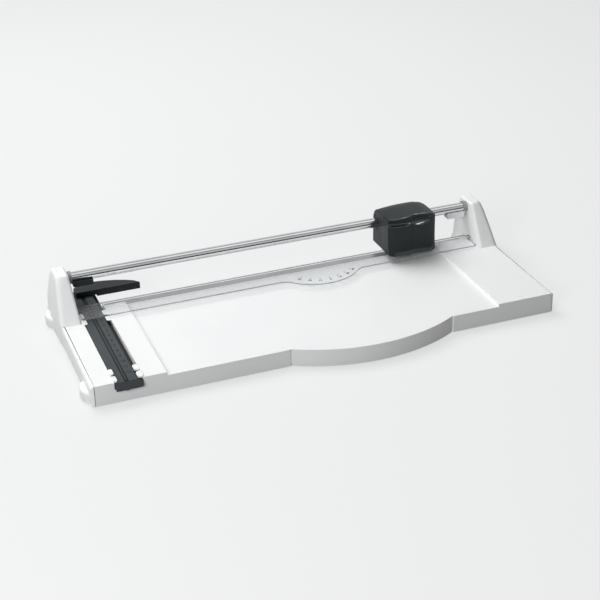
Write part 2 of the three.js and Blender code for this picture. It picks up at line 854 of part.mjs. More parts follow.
function makeClampSpring() {
  const geometry = coil(clampSpringRadius, clampBottom - clampSpringFloor - fit * 2);
  geometry.translate(springX, tongueMiddleY, clampSpringFloor + fit);
  return toSolid(geometry);
}

// The slide's section: flat top with one groove, a lower ledge on its right, hollow underneath.
function makeSlide() {
  const grooveX = slideLeft + slideGrooveMargin;
  const ledgeX = slideRight - slideLedgeWidth;
  const section = polygon([
    [slideLeft, slideBottom],
    [slideLeft + slideWall, slideBottom],
    [slideLeft + slideWall, slideTop - slideWall],
    [ledgeX - slideWall, slideTop - slideWall],
    [ledgeX - slideWall, slideLedgeTop - slideWall],
    [slideRight - slideWall, slideLedgeTop - slideWall],
    [slideRight - slideWall, slideBottom],
    [slideRight, slideBottom],
    [slideRight, slideLedgeTop],
    [ledgeX, slideLedgeTop],
    [ledgeX, slideTop],
    [grooveX + slideGrooveWidth, slideTop],
    [grooveX + slideGrooveWidth, slideTop - slideGrooveDepth],
    [grooveX, slideTop - slideGrooveDepth],
    [grooveX, slideTop],
    [slideLeft, slideTop],
  ]);
  const bar = prismY(section, 0, slideRear);
  const lip = polygon([
    [fit, slideTop],
    [0, slideTop],
    [-slideLipReach, slideTop - slideLipDrop],
    [-slideLipReach, slideTop - slideLipDrop - slideLipEdge],
    [slideWall - slideLipReach, slideTop - slideLipDrop - slideLipEdge],
    [fit, slideTop - slideWall],
  ]);
  const screwHoles = stopBarScrewPlaces().map(([x, y]) => rodZ(
    screwRadius + fit, slideLedgeTop, slideTop + overrun, x, y, smallSides));
  const lipPlan = new THREE.Shape();
  lipPlan.moveTo(slideLeft, fit);
  lipPlan.lineTo(slideLeft, -slideLipReach);
  lipPlan.lineTo(slideRight - slideLipCornerRadius, -slideLipReach);
  lipPlan.absarc(
    slideRight - slideLipCornerRadius, slideLipCornerRadius - slideLipReach, slideLipCornerRadius,
    -Math.PI / 2, 0);
  lipPlan.lineTo(slideRight, fit);
  lipPlan.closePath();
  const roundedLip = prismX(lip, slideLeft, slideRight).intersect(
    prismZ(lipPlan, slideBottom, tableHeight));
  const pointer = box(
    grooveX, grooveX + slidePointerWidth, -slideLipReach - slidePointerReach, slideWall - slideLipReach,
    slideTop - slideLipDrop - slideLipEdge, slideTop - slideLipDrop);
  const pointerHole = rodZ(
    slideHoleRadius, slideTop - slideWall - overrun, slideTop + overrun,
    grooveX + slidePointerWidth, slideHoleY, smallSides);
  const slide = screwHoles.reduce((solid, hole) => solid.subtract(hole), bar);
  return slide.add(roundedLip).add(pointer).subtract(pointerHole);
}

function stopBarScrewPlaces() {
  const firstX = slideLeft + slideWall + fit + screwHeadRadius;
  const y = stopBarFront + stopBarDepth * stopBarScrewShare;
  return [[firstX, y], [firstX + stopBarScrewSpacing, y]];
}

// Along and behind the bar's front edge, as shares of its length and depth.
const stopBarRearShares = [
  [1, 0.02], [0.93, 0.3], [0.81, 0.54], [0.66, 0.74], [0.5, 0.88], [0.29, 1], [0.13, 0.88], [0, 0.58],
];

function makeStopBar() {
  const barLeft = left + stopBarLeftMargin;
  const points = stopBarRearShares.map(([along, behind]) => [
    barLeft + stopBarLength * along, stopBarFront + stopBarDepth * behind]);
  const outline = polygon([[barLeft, stopBarFront], [barLeft + stopBarLength, stopBarFront], ...points]);
  const upper = prismZ(outline, slideTop + fit, stopBarTop);
  const slideBox = box(
    barLeft - overrun, slideRight + fit, stopBarFront - overrun,
    stopBarFront + stopBarDepth + overrun, 0, stopBarTop);
  const lower = prismZ(outline, stopBarBottom, stopBarTop - overrun).subtract(slideBox);
  let bar = upper.add(lower);
  stopBarScrewPlaces().forEach(([x, y]) => {
    bar = bar.subtract(rodZ(
      screwRadius + fit, slideTop, stopBarTop - overrun, x, y, smallSides));
  });
  return bar;
}

// Stations along the head, as shares: place across its width, front bulge, dome and lip.
const headStationShares = [
  [0, 0.4, 0, 1], [0.1, 0.7, 0.3, 1], [0.22, 0.87, 0.6, 1], [0.34, 0.88, 0.85, 0.95],
  [0.41, 0.72, 0.92, 0.8], [0.45, 0.5, 0.95, 0.6], [0.49, 0.4, 0.97, 0.4],
  [0.54, 0.5, 1, 0.2], [0.6, 0.7, 1, 0.08], [0.7, 0.95, 0.95, 0], [0.78, 1, 0.85, 0],
];
const headRoundShares = [0, 0.25, 0.5, 0.7, 0.85, 0.95, 1];

function headRing(x, front, rear, top, bottom, flare, steps) {
  const shape = new THREE.Shape();
  shape.moveTo(front - flare, bottom);
  shape.lineTo(rear, bottom);
  shape.lineTo(rear, top - headShoulderDrop);
  shape.quadraticCurveTo(rear, top, rear - headShoulderDepth, top);
  shape.lineTo(front + headLipRadius, top);
  shape.quadraticCurveTo(front, top, front, top - headLipRadius);
  shape.lineTo(front, bottom + headFlareHeight);
  shape.quadraticCurveTo(front, bottom + headFlareHeight / 2, front - flare, bottom);
  shape.closePath();
  return shape.getPoints(steps).map((point) => new THREE.Vector3(x, point.x, point.y));
}

// The head's outer form, the hollow in it when the wall is given, or the form with its lip.
function headForm(wall, floor, lipReach = 0, steps = headSteps) {
  const rings = headStationShares.map(([along, bulge, dome, lip]) => headRing(
    headLeft + wall + (headWidth - wall * 2) * along,
    headFront + wall - headBulge * bulge - lipReach * lip,
    headRear - wall,
    headTop - wall + headDome * dome,
    floor,
    headFlare,
    steps));
  const [lastAlong, lastBulge, lastDome] = headStationShares[headStationShares.length - 1];
  const roundStart = Math.max(headWidth * lastAlong, headWidth - headEndRadius);
  headRoundShares.forEach((share) => {
    const turn = Math.PI / 2 * share;
    const inset = headEndRadius * (1 - Math.cos(turn)) * headEndInsetShare;
    const x = headLeft + roundStart + (headWidth - roundStart) * Math.sin(turn) - wall * share;
    rings.push(headRing(
      x,
      headFront + wall - headBulge * lastBulge + inset,
      headRear - wall - inset,
      headTop - wall + headDome * lastDome * headEndDomeShare - inset,
      floor,
      headFlare * Math.cos(turn),
      steps));
  });
  return toSolid(loft(rings));
}

function headBosses(y0, y1, radius) {
  const bosses = [];
  [headLeft + headScrewInset, headRight - headScrewInset].forEach((x) => {
    [headScrewLow, headScrewHigh].forEach((z) => {
      bosses.push(rodY(radius, y0, y1, x, z, smallSides));
    });
  });
  return bosses;
}

// The hollow for the thumb in the right half, under the lip, or its backing when a wall is given.
function thumbHollow(wall) {
  const geometry = new THREE.SphereGeometry(1, smallSides * 2, smallSides);
  geometry.scale(thumbHalfWidth + wall, thumbHalfDepth + wall, thumbHalfHeight + wall);
  geometry.translate(
    headLeft + headWidth * thumbPlaceShare,
    headFront - headBulge * thumbBulgeShare - thumbSetOut,
    capSeam - thumbDrop);
  return toSolid(geometry);
}

const carrierFront = headSplit + fit;
const carrierRear = carrierFront + carrierThickness;
const shoeBottom = clampTop + fit;
const shoeTop = shoeBottom + shoeHeight;
const shelfBottom = shoeTop + shoeSpringLength + fit;

function makeHead() {
  const outer = headForm(0, headBottom);
  const hollow = headForm(headWall, headBottom - overrun, 0, headInnerSteps);
  const everywhere = headTop + headDome + overrun;
  const x0 = headLeft - overrun;
  const x1 = headRight + overrun;
  const y0 = headFront - headBulge - headFlare - overrun;
  const y1 = headRear + overrun;
  const skin = outer.subtract(hollow);
  const belowSeam = box(x0, x1, y0, y1, headBottom - overrun, capSeam);
  const aboveSeam = box(x0, x1, y0, y1, capSeam + fit, everywhere);
  const inFront = box(x0, x1, y0, headSplit - fit / 2, 0, everywhere);
  const behind = box(x0, x1, headSplit + fit / 2, y1, 0, everywhere);

  // The front shell carries the shelf for the shoe springs and the ledges that keep the shoe in.
  let front = skin.intersect(belowSeam).intersect(inFront);
  const shelf = box(
    headLeft, headRight, headFront, headSplit - fit, shelfBottom, shelfBottom + shelfThickness);
  const ledgeTop = shoeTop - shoeFlangeHeight - fit;
  const ledges = [[headLeft, headLeft + ledgeReach], [headRight - ledgeReach, headRight]].map(
    ([a, b]) => box(a, b, shoeFront, headSplit - fit, ledgeTop - shelfThickness, ledgeTop));
  const grooveEnd = headLeft + headWidth * grooveLengthShare;
  const grooveY = headFront - headBulge - grooveRadius * grooveSetShare;
  const grooveZ = capSeam - grooveDrop;
  const grooveBacking = rodX(
    grooveRadius + headWall, headLeft, grooveEnd + headWall, grooveY, grooveZ);
  const additions = [
    shelf, ...ledges, ...headBosses(headFront, headSplit - fit, headBossRadius),
    grooveBacking, thumbHollow(headWall),
  ];
  additions.forEach((piece) => {
    front = front.add(piece.intersect(outer).intersect(belowSeam));
  });
  headBosses(headFront + headWall, headSplit + overrun, screwRadius + fit).forEach((hole) => {
    front = front.subtract(hole);
  });
  front = front.subtract(rodX(grooveRadius, x0, grooveEnd, grooveY, grooveZ));
  front = front.subtract(thumbHollow(0));

  // The rear shell carries the ribs around the rail bushes.
  let rear = skin.intersect(belowSeam).intersect(behind);
  const ribZ0 = railZ - railRadius - bushWall * 2;
  [headLeft + bushRibInset, headRight - bushRibInset - bushRibThickness].forEach((x) => {
    const rib = box(x, x + bushRibThickness, carrierRear + fit, headRear, ribZ0, capSeam);
    rear = rear.add(rib.intersect(outer));
  });
  headBosses(headSplit + carrierThickness + fit * 2, headRear, headBossRadius).forEach((boss) => {
    rear = rear.add(boss.intersect(outer));
  });
  const bushHole = railRadius + bushGap + bushWall + fit;
  rear = rear.subtract(rodX(bushHole, x0, x1, railY, railZ));
  headBosses(headSplit - overrun, headRear - headWall * 2, screwRadius + fit).forEach((hole) => {
    rear = rear.subtract(hole);
  });
  headBosses(headRear - headScrewSink, y1, screwHeadRadius + fit).forEach((hole) => {
    rear = rear.subtract(hole);
  });

  // The cap closes the top. Its lip reaches over the finger groove and is arched for the thumb.
  let cap = headForm(0, headBottom, headLipReach).subtract(hollow).intersect(aboveSeam);
  cap = cap.add(thumbHollow(headWall).intersect(outer).intersect(aboveSeam));
  cap = cap.subtract(thumbHollow(0));
  return { front, rear, cap };
}

function makeHeadScrews() {
  const headBase = headRear - headScrewSink + fit;
  const heads = headBosses(headBase, headBase + screwHeadHeight, screwHeadRadius);
  const shanks = headBosses(headFront + headScrewTip, headBase + screwHeadHeight / 2, screwRadius);
  return heads.map((head, index) => head.add(shanks[index]));
}

function makeBush(x0, x1) {
  const inner = railRadius + bushGap;
  return ringAlongX(inner, inner + bushWall, x0, x1);
}

function makeCarrier() {
  const bottom = headBottom + carrierBottomGap;
  let plate = box(
    headLeft + headWall + fit, headRight - headWall - fit * 3,
    carrierFront, carrierRear, bottom, bottom + carrierHeight);
  headBosses(carrierFront - overrun, carrierRear + overrun, screwRadius + fit).forEach((hole) => {
    plate = plate.subtract(hole);
  });
  return plate.subtract(rodY(
    axleRadius + fit, carrierFront - overrun, carrierRear + overrun, headMiddle, wheelZ, smallSides));
}

const hubFront = wheelFront - fit - hubFrontLength;
const hubRear = wheelFront - fit + hubCoreLength;
const springFront = hubRear + fit;
const clipFront = springFront + bladeSpringLength + fit;

function turnedProfileY(points, x, z, sides = roundSides) {
  const profile = points.map(([radius, y]) => new THREE.Vector2(radius, y));
  const geometry = new THREE.LatheGeometry(profile, sides);
  geometry.translate(x, 0, z);
  return toSolid(geometry);
}

// The wheel blade: a thin disc with a bevelled edge and a bore on the hub.
function makeWheel() {
  const bore = hubCoreRadius + fit;
  return turnedProfileY([
    [bore, wheelFront],
    [wheelRadius, wheelFront],
    [wheelRadius, wheelFront + wheelEdgeRound],
    [wheelRadius - wheelEdgeWidth, wheelRear],
    [bore, wheelRear],
    [bore, wheelFront],
  ], headMiddle, wheelZ, roundSides * 2);
}

function makeHub() {
  const bore = axleRadius + fit;
  return turnedProfileY([
    [bore, hubFront],
    [hubRadius, hubFront],
    [hubRadius, hubFront + hubFrontLength],
    [hubCoreRadius, hubFront + hubFrontLength],
    [hubCoreRadius, hubRear],
    [bore, hubRear],
    [bore, hubFront],
  ], headMiddle, wheelZ);
}

function makeNut() {
  const start = wheelRear + fit;
  const ring = rodY(nutRadius, start, start + nutLength, headMiddle, wheelZ, nutSides);
  return ring.subtract(rodY(
    hubCoreRadius + fit, start - overrun, start + nutLength + overrun, headMiddle, wheelZ));
}

function makeAxle() {
  const headStart = carrierFront - fit - axleHeadLength;
  const head = rodY(axleHeadRadius, headStart, headStart + axleHeadLength, headMiddle, wheelZ);
  return head.add(rodY(
    axleRadius, headStart, clipFront + clipLength, headMiddle, wheelZ, smallSides));
}

function makeClip() {
  const disc = rodY(axleHeadRadius, clipFront, clipFront + clipLength, headMiddle, wheelZ, smallSides);
  return disc.subtract(rodY(
    axleRadius + fit, clipFront - overrun, clipFront + clipLength + overrun,
    headMiddle, wheelZ, smallSides));
}

function makeBladeSpring() {
  const geometry = coil(bladeSpringRadius, bladeSpringLength);
  geometry.rotateX(-Math.PI / 2);
  geometry.translate(headMiddle, springFront, wheelZ);
  return toSolid(geometry);
}

// The shoe has ramped ends, so that it rides over the clamp strip in both directions.
function makeShoe() {
  const half = shoeLength / 2;
  const section = polygon([
    [headMiddle - half, shoeTop],
    [headMiddle - half, shoeBottom + shoeRamp],
    [headMiddle - half + shoeRamp, shoeBottom],
    [headMiddle + half - shoeRamp, shoeBottom],
    [headMiddle + half, shoeBottom + shoeRamp],
    [headMiddle + half, shoeTop],
  ]);
  const body = prismY(section, shoeFront, shoeFront + shoeDepth);
  const flange = box(
    headMiddle - half - shoeFlange, headMiddle + half + shoeFlange,
    shoeFront, shoeFront + shoeDepth, shoeTop - shoeFlangeHeight, shoeTop);
  return body.add(flange);
}

function makeShoeSpring(side) {
  const geometry = coil(shoeSpringRadius, shoeSpringLength - fit);
  geometry.translate(
    headMiddle + side * shoeSpringSpacing / 2, shoeFront + shoeDepth / 2, shoeTop + fit);
  return toSolid(geometry);
}

addPiece('base_table', makeTable(), whitePlastic);

const leftUpright = toGeometry(makeUpright());
addGeometry('left_upright', leftUpright, whitePlastic);
addGeometry('right_upright', mirrorAcrossX(leftUpright), whitePlastic);

flangeScrewYs.forEach((y, index) => {
  const screw = toGeometry(makeScrewUp(
    left + flangeScrewX, y, groundGap + fit + screwHeadHeight, groundGap + flangeScrewLength));
  addGeometry(`upright_screw_left_${index + 1}`, screw, screwSteel);
  addGeometry(`upright_screw_right_${index + 1}`, mirrorAcrossX(screw), screwSteel);
});

[['front', frontPodY], ['rear', rearPodY]].forEach(([end, y]) => {
  const foot = toGeometry(makeFoot(y));
  addGeometry(`foot_${end}_left`, foot, darkRubber);
  addGeometry(`foot_${end}_right`, mirrorAcrossX(foot), darkRubber);
});

addPiece('guide_rail', rodX(railRadius, railEnd, -railEnd, railY, railZ), polishedSteel);

const endRing = toGeometry(ringAlongX(
  railRadius + bushGap, railRadius + bushGap + ringWall, ringStart, ringStart + ringLength));
addGeometry('rail_ring_left', endRing, greyPlastic);
addGeometry('rail_ring_right', mirrorAcrossX(endRing), greyPlastic);

const stopBlock = toGeometry(makeStopBlock());
addGeometry('stop_block_left', stopBlock, charcoalPlastic);
addGeometry('stop_block_right', mirrorAcrossX(stopBlock), charcoalPlastic);

addPiece('lower_blade', makeLowerBlade(), groundSteel);
bladeScrewPlaces().forEach((x, index) => {
  addPiece(
    `blade_screw_${index + 1}`,
    makeScrewUp(
      x, bladeScrewY, bladeScrewSeat - fit, ledgeLevel - fit, bladeScrewHeadRadius), screwSteel);
});

addPiece('clamp_strip', makeClampStrip(), clearPlastic);
const clampSpring = toGeometry(makeClampSpring());
addGeometry('clamp_spring_left', clampSpring, screwSteel);
addGeometry('clamp_spring_right', mirrorAcrossX(clampSpring), screwSteel);

addPiece('gauge_slide', makeSlide(), charcoalPlastic);
addPiece('stop_bar', makeStopBar(), charcoalPlastic);
stopBarScrewPlaces().forEach(([x, y], index) => {
  addPiece(
    `stop_bar_screw_${index + 1}`,
    makeScrewUp(x, y, slideTop - slideWall - fit, stopBarTop - overrun - fit), screwSteel);
});

const head = makeHead();
addPiece('head_front_shell', head.front, charcoalPlastic);
addPiece('head_rear_shell', head.rear, charcoalPlastic);
addPiece('head_cap', head.cap, charcoalPlastic);
makeHeadScrews().forEach((screw, index) => {
  addPiece(`head_screw_${index + 1}`, screw, screwSteel);
});
addPiece('rail_bush_left', makeBush(headLeft + fit, headLeft + bushLength), greyPlastic);
addPiece('rail_bush_right', makeBush(headRight - bushLength, headRight - fit), greyPlastic);
addPiece('blade_carrier', makeCarrier(), groundSteel);
addPiece('rotary_blade', makeWheel(), groundSteel);
addPiece('blade_hub', makeHub(), greyPlastic);
addPiece('blade_nut', makeNut(), screwSteel);
addPiece('blade_axle', makeAxle(), screwSteel);
addPiece('axle_clip', makeClip(), screwSteel);
addPiece('blade_spring', makeBladeSpring(), screwSteel);
addPiece('pressure_shoe', makeShoe(), greyPlastic);
addPiece('shoe_spring_left', makeShoeSpring(-1), screwSteel);
addPiece('shoe_spring_right', makeShoeSpring(1), screwSteel);

// The origin is under the middle of the whole part: half way between the bow front and the rearmost
// edge, which is the stop bar's or the foot of the uprights.
const uprightRear = pillarRear - pillarRearLean * pillarStationShares[0][2];
const rearmost = Math.max(uprightRear, stopBarFront + stopBarDepth, rearPodY + podRadius);
group.position.y = -(rearmost - bellyReach) / 2;

export default group;
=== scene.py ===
# %% [markdown]
# A rotary paper trimmer
#
# The object is a desk machine of about 46 by 21 cm. A white moulded table has a bow front and a
# gauge slide at its left. Two end uprights hold a polished rail, a charcoal cutting head runs on
# it, and a clear strip with angle marks holds the paper down.
#
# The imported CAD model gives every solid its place. This lesson loads it, rounds and finishes its
# pieces, adds what is printed or engraved on them, and sets the floor, lamps and camera.

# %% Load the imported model
import json
import math

import bmesh
import bpy
from mathutils import Matrix, Vector

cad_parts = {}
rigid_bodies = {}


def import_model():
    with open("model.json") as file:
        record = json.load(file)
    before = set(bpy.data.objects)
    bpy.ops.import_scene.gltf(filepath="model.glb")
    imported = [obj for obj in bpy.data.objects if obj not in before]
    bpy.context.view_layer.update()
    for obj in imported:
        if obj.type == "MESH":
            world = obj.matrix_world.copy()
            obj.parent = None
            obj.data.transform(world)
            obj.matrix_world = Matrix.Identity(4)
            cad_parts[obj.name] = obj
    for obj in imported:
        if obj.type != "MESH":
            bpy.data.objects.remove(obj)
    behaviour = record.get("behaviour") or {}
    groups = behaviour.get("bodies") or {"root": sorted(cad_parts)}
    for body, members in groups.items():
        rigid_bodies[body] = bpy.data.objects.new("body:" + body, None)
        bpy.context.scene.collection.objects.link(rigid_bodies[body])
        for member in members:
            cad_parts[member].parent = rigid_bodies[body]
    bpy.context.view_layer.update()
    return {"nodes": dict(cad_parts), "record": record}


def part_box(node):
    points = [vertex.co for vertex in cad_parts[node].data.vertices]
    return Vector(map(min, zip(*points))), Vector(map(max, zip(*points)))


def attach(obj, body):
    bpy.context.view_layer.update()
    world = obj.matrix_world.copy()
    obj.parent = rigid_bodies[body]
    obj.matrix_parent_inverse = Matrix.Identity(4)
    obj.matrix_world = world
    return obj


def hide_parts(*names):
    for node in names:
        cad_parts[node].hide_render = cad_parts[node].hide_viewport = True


for leftover in list(bpy.data.objects):
    bpy.data.objects.remove(leftover)
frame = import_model()
cad_nodes = frame["nodes"]
record = frame["record"]
print("CAD nodes:", len(cad_nodes))

# %% [markdown]
# Where things are
#
# The trimmer was measured from the left edge of its table, from its straight front wall and from
# the ground, in millimetres. One small function turns such a place into a point of the scene, so
# that every cell below can use the measured numbers as they are.

# %% Places in millimetres
MM = 0.001
TABLE_DEPTH = 150 * MM
table_low, table_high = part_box("base_table")
LEFT_EDGE = table_low.x
FRONT_WALL = table_high.y - TABLE_DEPTH


def at(x, y, z):
    """A point given in millimetres from the table's left edge, its front wall and the ground."""
    return Vector((LEFT_EDGE + x * MM, FRONT_WALL + y * MM, z * MM))


print("Left edge and front wall:", round(LEFT_EDGE, 5), round(FRONT_WALL, 5))

# %% [markdown]
# The camera
#
# The photograph was taken from the front and a little from the left, from about 1.2 m away. The
# camera is set from its measured azimuth, elevation and roll, because a lens and a place that are
# guessed by eye never bring all the edges of a long flat machine together.

# %% Camera at the photograph's angle
CAMERA_AZIMUTH = math.radians(-20.23)
CAMERA_ELEVATION = math.radians(27.78)
CAMERA_ROLL = math.radians(-1.27)
CAMERA_PLACE = (-192.58, -1037.33, 649.14)
SENSOR_WIDTH = 36
FOCAL_LENGTH = 84.81

back = Vector((
    math.sin(CAMERA_AZIMUTH) * math.cos(CAMERA_ELEVATION),
    -math.cos(CAMERA_AZIMUTH) * math.cos(CAMERA_ELEVATION),
    math.sin(CAMERA_ELEVATION),
))
level_right = Vector((math.cos(CAMERA_AZIMUTH), math.sin(CAMERA_AZIMUTH), 0))
level_up = back.cross(level_right)
camera_right = level_right * math.cos(CAMERA_ROLL) + level_up * math.sin(CAMERA_ROLL)
camera_up = level_up * math.cos(CAMERA_ROLL) - level_right * math.sin(CAMERA_ROLL)

camera_data = bpy.data.cameras.new("photo_camera")
camera_data.sensor_width = SENSOR_WIDTH
camera_data.lens = FOCAL_LENGTH
camera = bpy.data.objects.new("photo_camera", camera_data)
bpy.context.scene.collection.objects.link(camera)
turn = Matrix((camera_right, camera_up, back)).transposed()
camera.matrix_world = Matrix.Translation(at(*CAMERA_PLACE)) @ turn.to_4x4()
bpy.context.scene.camera = camera
print("Camera at", tuple(round(v, 3) for v in camera.location))

# %% [markdown]
# Node helpers
#
# Every finish here is procedural. A few helpers keep the material cells short: they add a node,
# read a noise on Object coordinates through a Mapping node, and turn that noise into a tint, a
# range of roughness or fine bumps. Another starts a material and hands over its tree and shader.

# %% Helpers for shader nodes
def add_node(tree, kind, **settings):
    node = tree.nodes.new(kind)
    for name, value in settings.items():
        setattr(node, name, value)
    return node


def object_noise(tree, scale, detail=2.0, stretch=(1, 1, 1)):
    """A noise on Object coordinates. Scale is in features per metre."""
    coords = add_node(tree, "ShaderNodeTexCoord")
    mapping = add_node(tree, "ShaderNodeMapping")
    mapping.inputs["Scale"].default_value = stretch
    noise = add_node(tree, "ShaderNodeTexNoise")
    noise.inputs["Scale"].default_value = scale
    noise.inputs["Detail"].default_value = detail
    tree.links.new(coords.outputs["Object"], mapping.inputs["Vector"])
    tree.links.new(mapping.outputs["Vector"], noise.inputs["Vector"])
    return noise


def ramp_between(tree, source, low, high, start=0.35, end=0.65):
    """A colour ramp from low to high, driven by the noise's value."""
    ramp = add_node(tree, "ShaderNodeValToRGB")
    ramp.color_ramp.elements[0].position = start
    ramp.color_ramp.elements[0].color = (*low, 1)
    ramp.color_ramp.elements[1].position = end
    ramp.color_ramp.elements[1].color = (*high, 1)
    tree.links.new(source.outputs["Fac"], ramp.inputs["Fac"])
    return ramp


def range_between(tree, source, low, high):
    """Maps the noise's value to a plain range, for roughness."""
    spread = add_node(tree, "ShaderNodeMapRange")
    spread.inputs["From Min"].default_value = 0.3
    spread.inputs["From Max"].default_value = 0.7
    spread.inputs["To Min"].default_value = low
    spread.inputs["To Max"].default_value = high
    tree.links.new(source.outputs["Fac"], spread.inputs["Value"])
    return spread


def bump_from(tree, source, depth, strength=1.0):
    """Fine relief whose full height is depth, in metres."""
    bump = add_node(tree, "ShaderNodeBump")
    bump.inputs["Distance"].default_value = depth
    bump.inputs["Strength"].default_value = strength
    tree.links.new(source.outputs["Fac"], bump.inputs["Height"])
    return bump


def new_finish(name):
    """A new material, its node tree and its Principled shader."""
    material = bpy.data.materials.new(name)
    material.use_nodes = True
    tree = material.node_tree
    return material, tree, tree.nodes["Principled BSDF"]


def dress_shader(tree, shader, tint, rough, bump):
    """Feeds colour, roughness and relief into the Principled shader."""
    tree.links.new(tint.outputs["Color"], shader.inputs["Base Color"])
    tree.links.new(rough.outputs["Result"], shader.inputs["Roughness"])
    tree.links.new(bump.outputs["Normal"], shader.inputs["Normal"])


print("Shader helpers are ready")

# %% [markdown]
# Moulded plastics
#
# The table and uprights are white plastic with a fine spark-eroded skin, and the head, gauge and
# stop bar are charcoal plastic of the same kind. One function makes both: a broad noise tints the
# colour a little, a fine one drives roughness and the grain's relief. Rubber and plain bearing
# plastic are made by the same function.

# %% White, charcoal and grey mouldings
CLOUDS_PER_METRE = 14


def moulding(name, low, high, rough, grain, relief, shine=0.5):
    """Plastic between two tints. Grain is in features per metre, its relief in metres."""
    material, tree, shader = new_finish(name)
    shader.inputs["Specular IOR Level"].default_value = shine
    broad = object_noise(tree, CLOUDS_PER_METRE, detail=3)
    fine = object_noise(tree, grain, detail=3)
    dress_shader(
        tree, shader, ramp_between(tree, broad, low, high), range_between(tree, fine, *rough),
        bump_from(tree, fine, relief))
    return material


white_moulding = moulding(
    "white_moulding", (0.885, 0.892, 0.898), (0.905, 0.91, 0.913),
    rough=(0.4, 0.5), grain=1400, relief=0.012 * MM)
charcoal_moulding = moulding(
    "charcoal_moulding", (0.016, 0.021, 0.023), (0.022, 0.028, 0.03),
    rough=(0.38, 0.48), grain=2200, relief=0.02 * MM, shine=0.22)
gauge_moulding = moulding(
    "gauge_moulding", (0.052, 0.06, 0.064), (0.064, 0.071, 0.075),
    rough=(0.46, 0.56), grain=2200, relief=0.02 * MM, shine=0.22)
# Painted shade: a darker charcoal for the gauge's groove and ledge, which lie in shade
groove_moulding = moulding(
    "groove_moulding", (0.014, 0.016, 0.018), (0.02, 0.023, 0.025),
    rough=(0.5, 0.6), grain=2200, relief=0.02 * MM, shine=0.3)
# Painted highlight: a lighter, glossier charcoal for the head's lips that face up and forward
lip_moulding = moulding(
    "lip_moulding", (0.05, 0.056, 0.06), (0.062, 0.068, 0.072),
    rough=(0.2, 0.25), grain=2200, relief=0.004 * MM, shine=0.8)
bearing_plastic = moulding(
    "bearing_plastic", (0.3, 0.31, 0.32), (0.36, 0.37, 0.38),
    rough=(0.4, 0.52), grain=1800, relief=0.01 * MM)
bearing_dark = moulding(
    "bearing_dark", (0.03, 0.034, 0.036), (0.04, 0.044, 0.046),
    rough=(0.4, 0.52), grain=1800, relief=0.01 * MM, shine=0.3)
foot_rubber = moulding(
    "foot_rubber", (0.03, 0.03, 0.031), (0.045, 0.045, 0.047),
    rough=(0.75, 0.92), grain=900, relief=0.05 * MM, shine=0.3)
print("Mouldings:", [m.name for m in bpy.data.materials if "mould" in m.name])

# %% [markdown]
# Metals
#
# The rail is polished round bar with faint drawing lines along it. The lower blade, the wheel
# and its carrier are ground: their lines are coarser and break the reflections up. Stretching a
# noise along one axis gives such lines without any image.

# %% Polished, ground and plated steel
METAL_CLOUDS_PER_METRE = 40
DULL_SHARE = 0.9


def steel(name, tone, rough, lines, stretch, relief):
    """Metal with lines, in features per metre, that are drawn out where stretch is small."""
    material, tree, shader = new_finish(name)
    shader.inputs["Metallic"].default_value = 1.0
    grind = object_noise(tree, lines, detail=4, stretch=stretch)
    cloud = object_noise(tree, METAL_CLOUDS_PER_METRE, detail=2)
    dull = tuple(v * DULL_SHARE for v in tone)
    dress_shader(
        tree, shader, ramp_between(tree, cloud, dull, tone), range_between(tree, grind, *rough),
        bump_from(tree, grind, relief))
    return material


polished_bar = steel(
    "polished_bar", (0.82, 0.83, 0.84),
    rough=(0.06, 0.12), lines=900, stretch=(0.02, 1, 1), relief=0.002 * MM)
ground_strip = steel(
    "ground_strip", (0.5, 0.51, 0.52),
    rough=(0.28, 0.42), lines=700, stretch=(0.04, 1, 1), relief=0.008 * MM)
ground_plate = steel(
    "ground_plate", (0.5, 0.51, 0.52),
    rough=(0.25, 0.4), lines=700, stretch=(1, 1, 0.05), relief=0.008 * MM)
plated_steel = steel(
    "plated_steel", (0.55, 0.56, 0.57),
    rough=(0.22, 0.36), lines=1200, stretch=(1, 1, 1), relief=0.006 * MM)
print("Metals:", [m.name for m in (polished_bar, ground_strip, ground_plate, plated_steel)])

# %% [markdown]
# The clear strip
#
# The clamp strip is clear hard plastic, 1.4 mm thick. Seen from above it only greys what lies
# under it, while its sawn edges gather light from inside and look dark. A face material that is
# mostly Transparent with a little shine, and a darker material whose grey is painted shade for
# the edges, give both looks and let the lamps through to the paper bed.

# %% Clear plastic and its edge
ACRYLIC_INDEX = 1.49
PASSING_COLOUR = (0.982, 0.986, 0.987, 1)
SCRATCHES_PER_METRE = 260
SCRATCH_STRETCH = (1, 0.08, 1)
SCRATCH_TINT = 0.94


def clear_sheet(name, haze, tint, rough):
    """Clear plastic that lets all but the share haze of the light through."""
    material, tree, shader = new_finish(name)
    shader.inputs["Roughness"].default_value = rough
    shader.inputs["IOR"].default_value = ACRYLIC_INDEX
    scratches = object_noise(tree, SCRATCHES_PER_METRE, detail=4, stretch=SCRATCH_STRETCH)
    colour = ramp_between(tree, scratches, tuple(v * SCRATCH_TINT for v in tint), tint)
    tree.links.new(colour.outputs["Color"], shader.inputs["Base Color"])
    output = tree.nodes["Material Output"]
    passing = add_node(tree, "ShaderNodeBsdfTransparent")
    passing.inputs["Color"].default_value = PASSING_COLOUR
    blend = add_node(tree, "ShaderNodeMixShader")
    veil = range_between(tree, scratches, haze * 0.85, haze * 1.15)
    tree.links.new(veil.outputs["Result"], blend.inputs["Fac"])
    tree.links.new(passing.outputs["BSDF"], blend.inputs[1])
    tree.links.new(shader.outputs["BSDF"], blend.inputs[2])
    tree.links.new(blend.outputs["Shader"], output.inputs["Surface"])
    return material


clear_face = clear_sheet("clear_face", haze=0.06, tint=(0.9, 0.93, 0.94), rough=0.08)
# Painted shade: the edges' dark grey stands in for the light that they bend away
clear_edge = clear_sheet("clear_edge", haze=0.75, tint=(0.28, 0.29, 0.295), rough=0.25)
print("Clear strip:", clear_face.name, clear_edge.name)
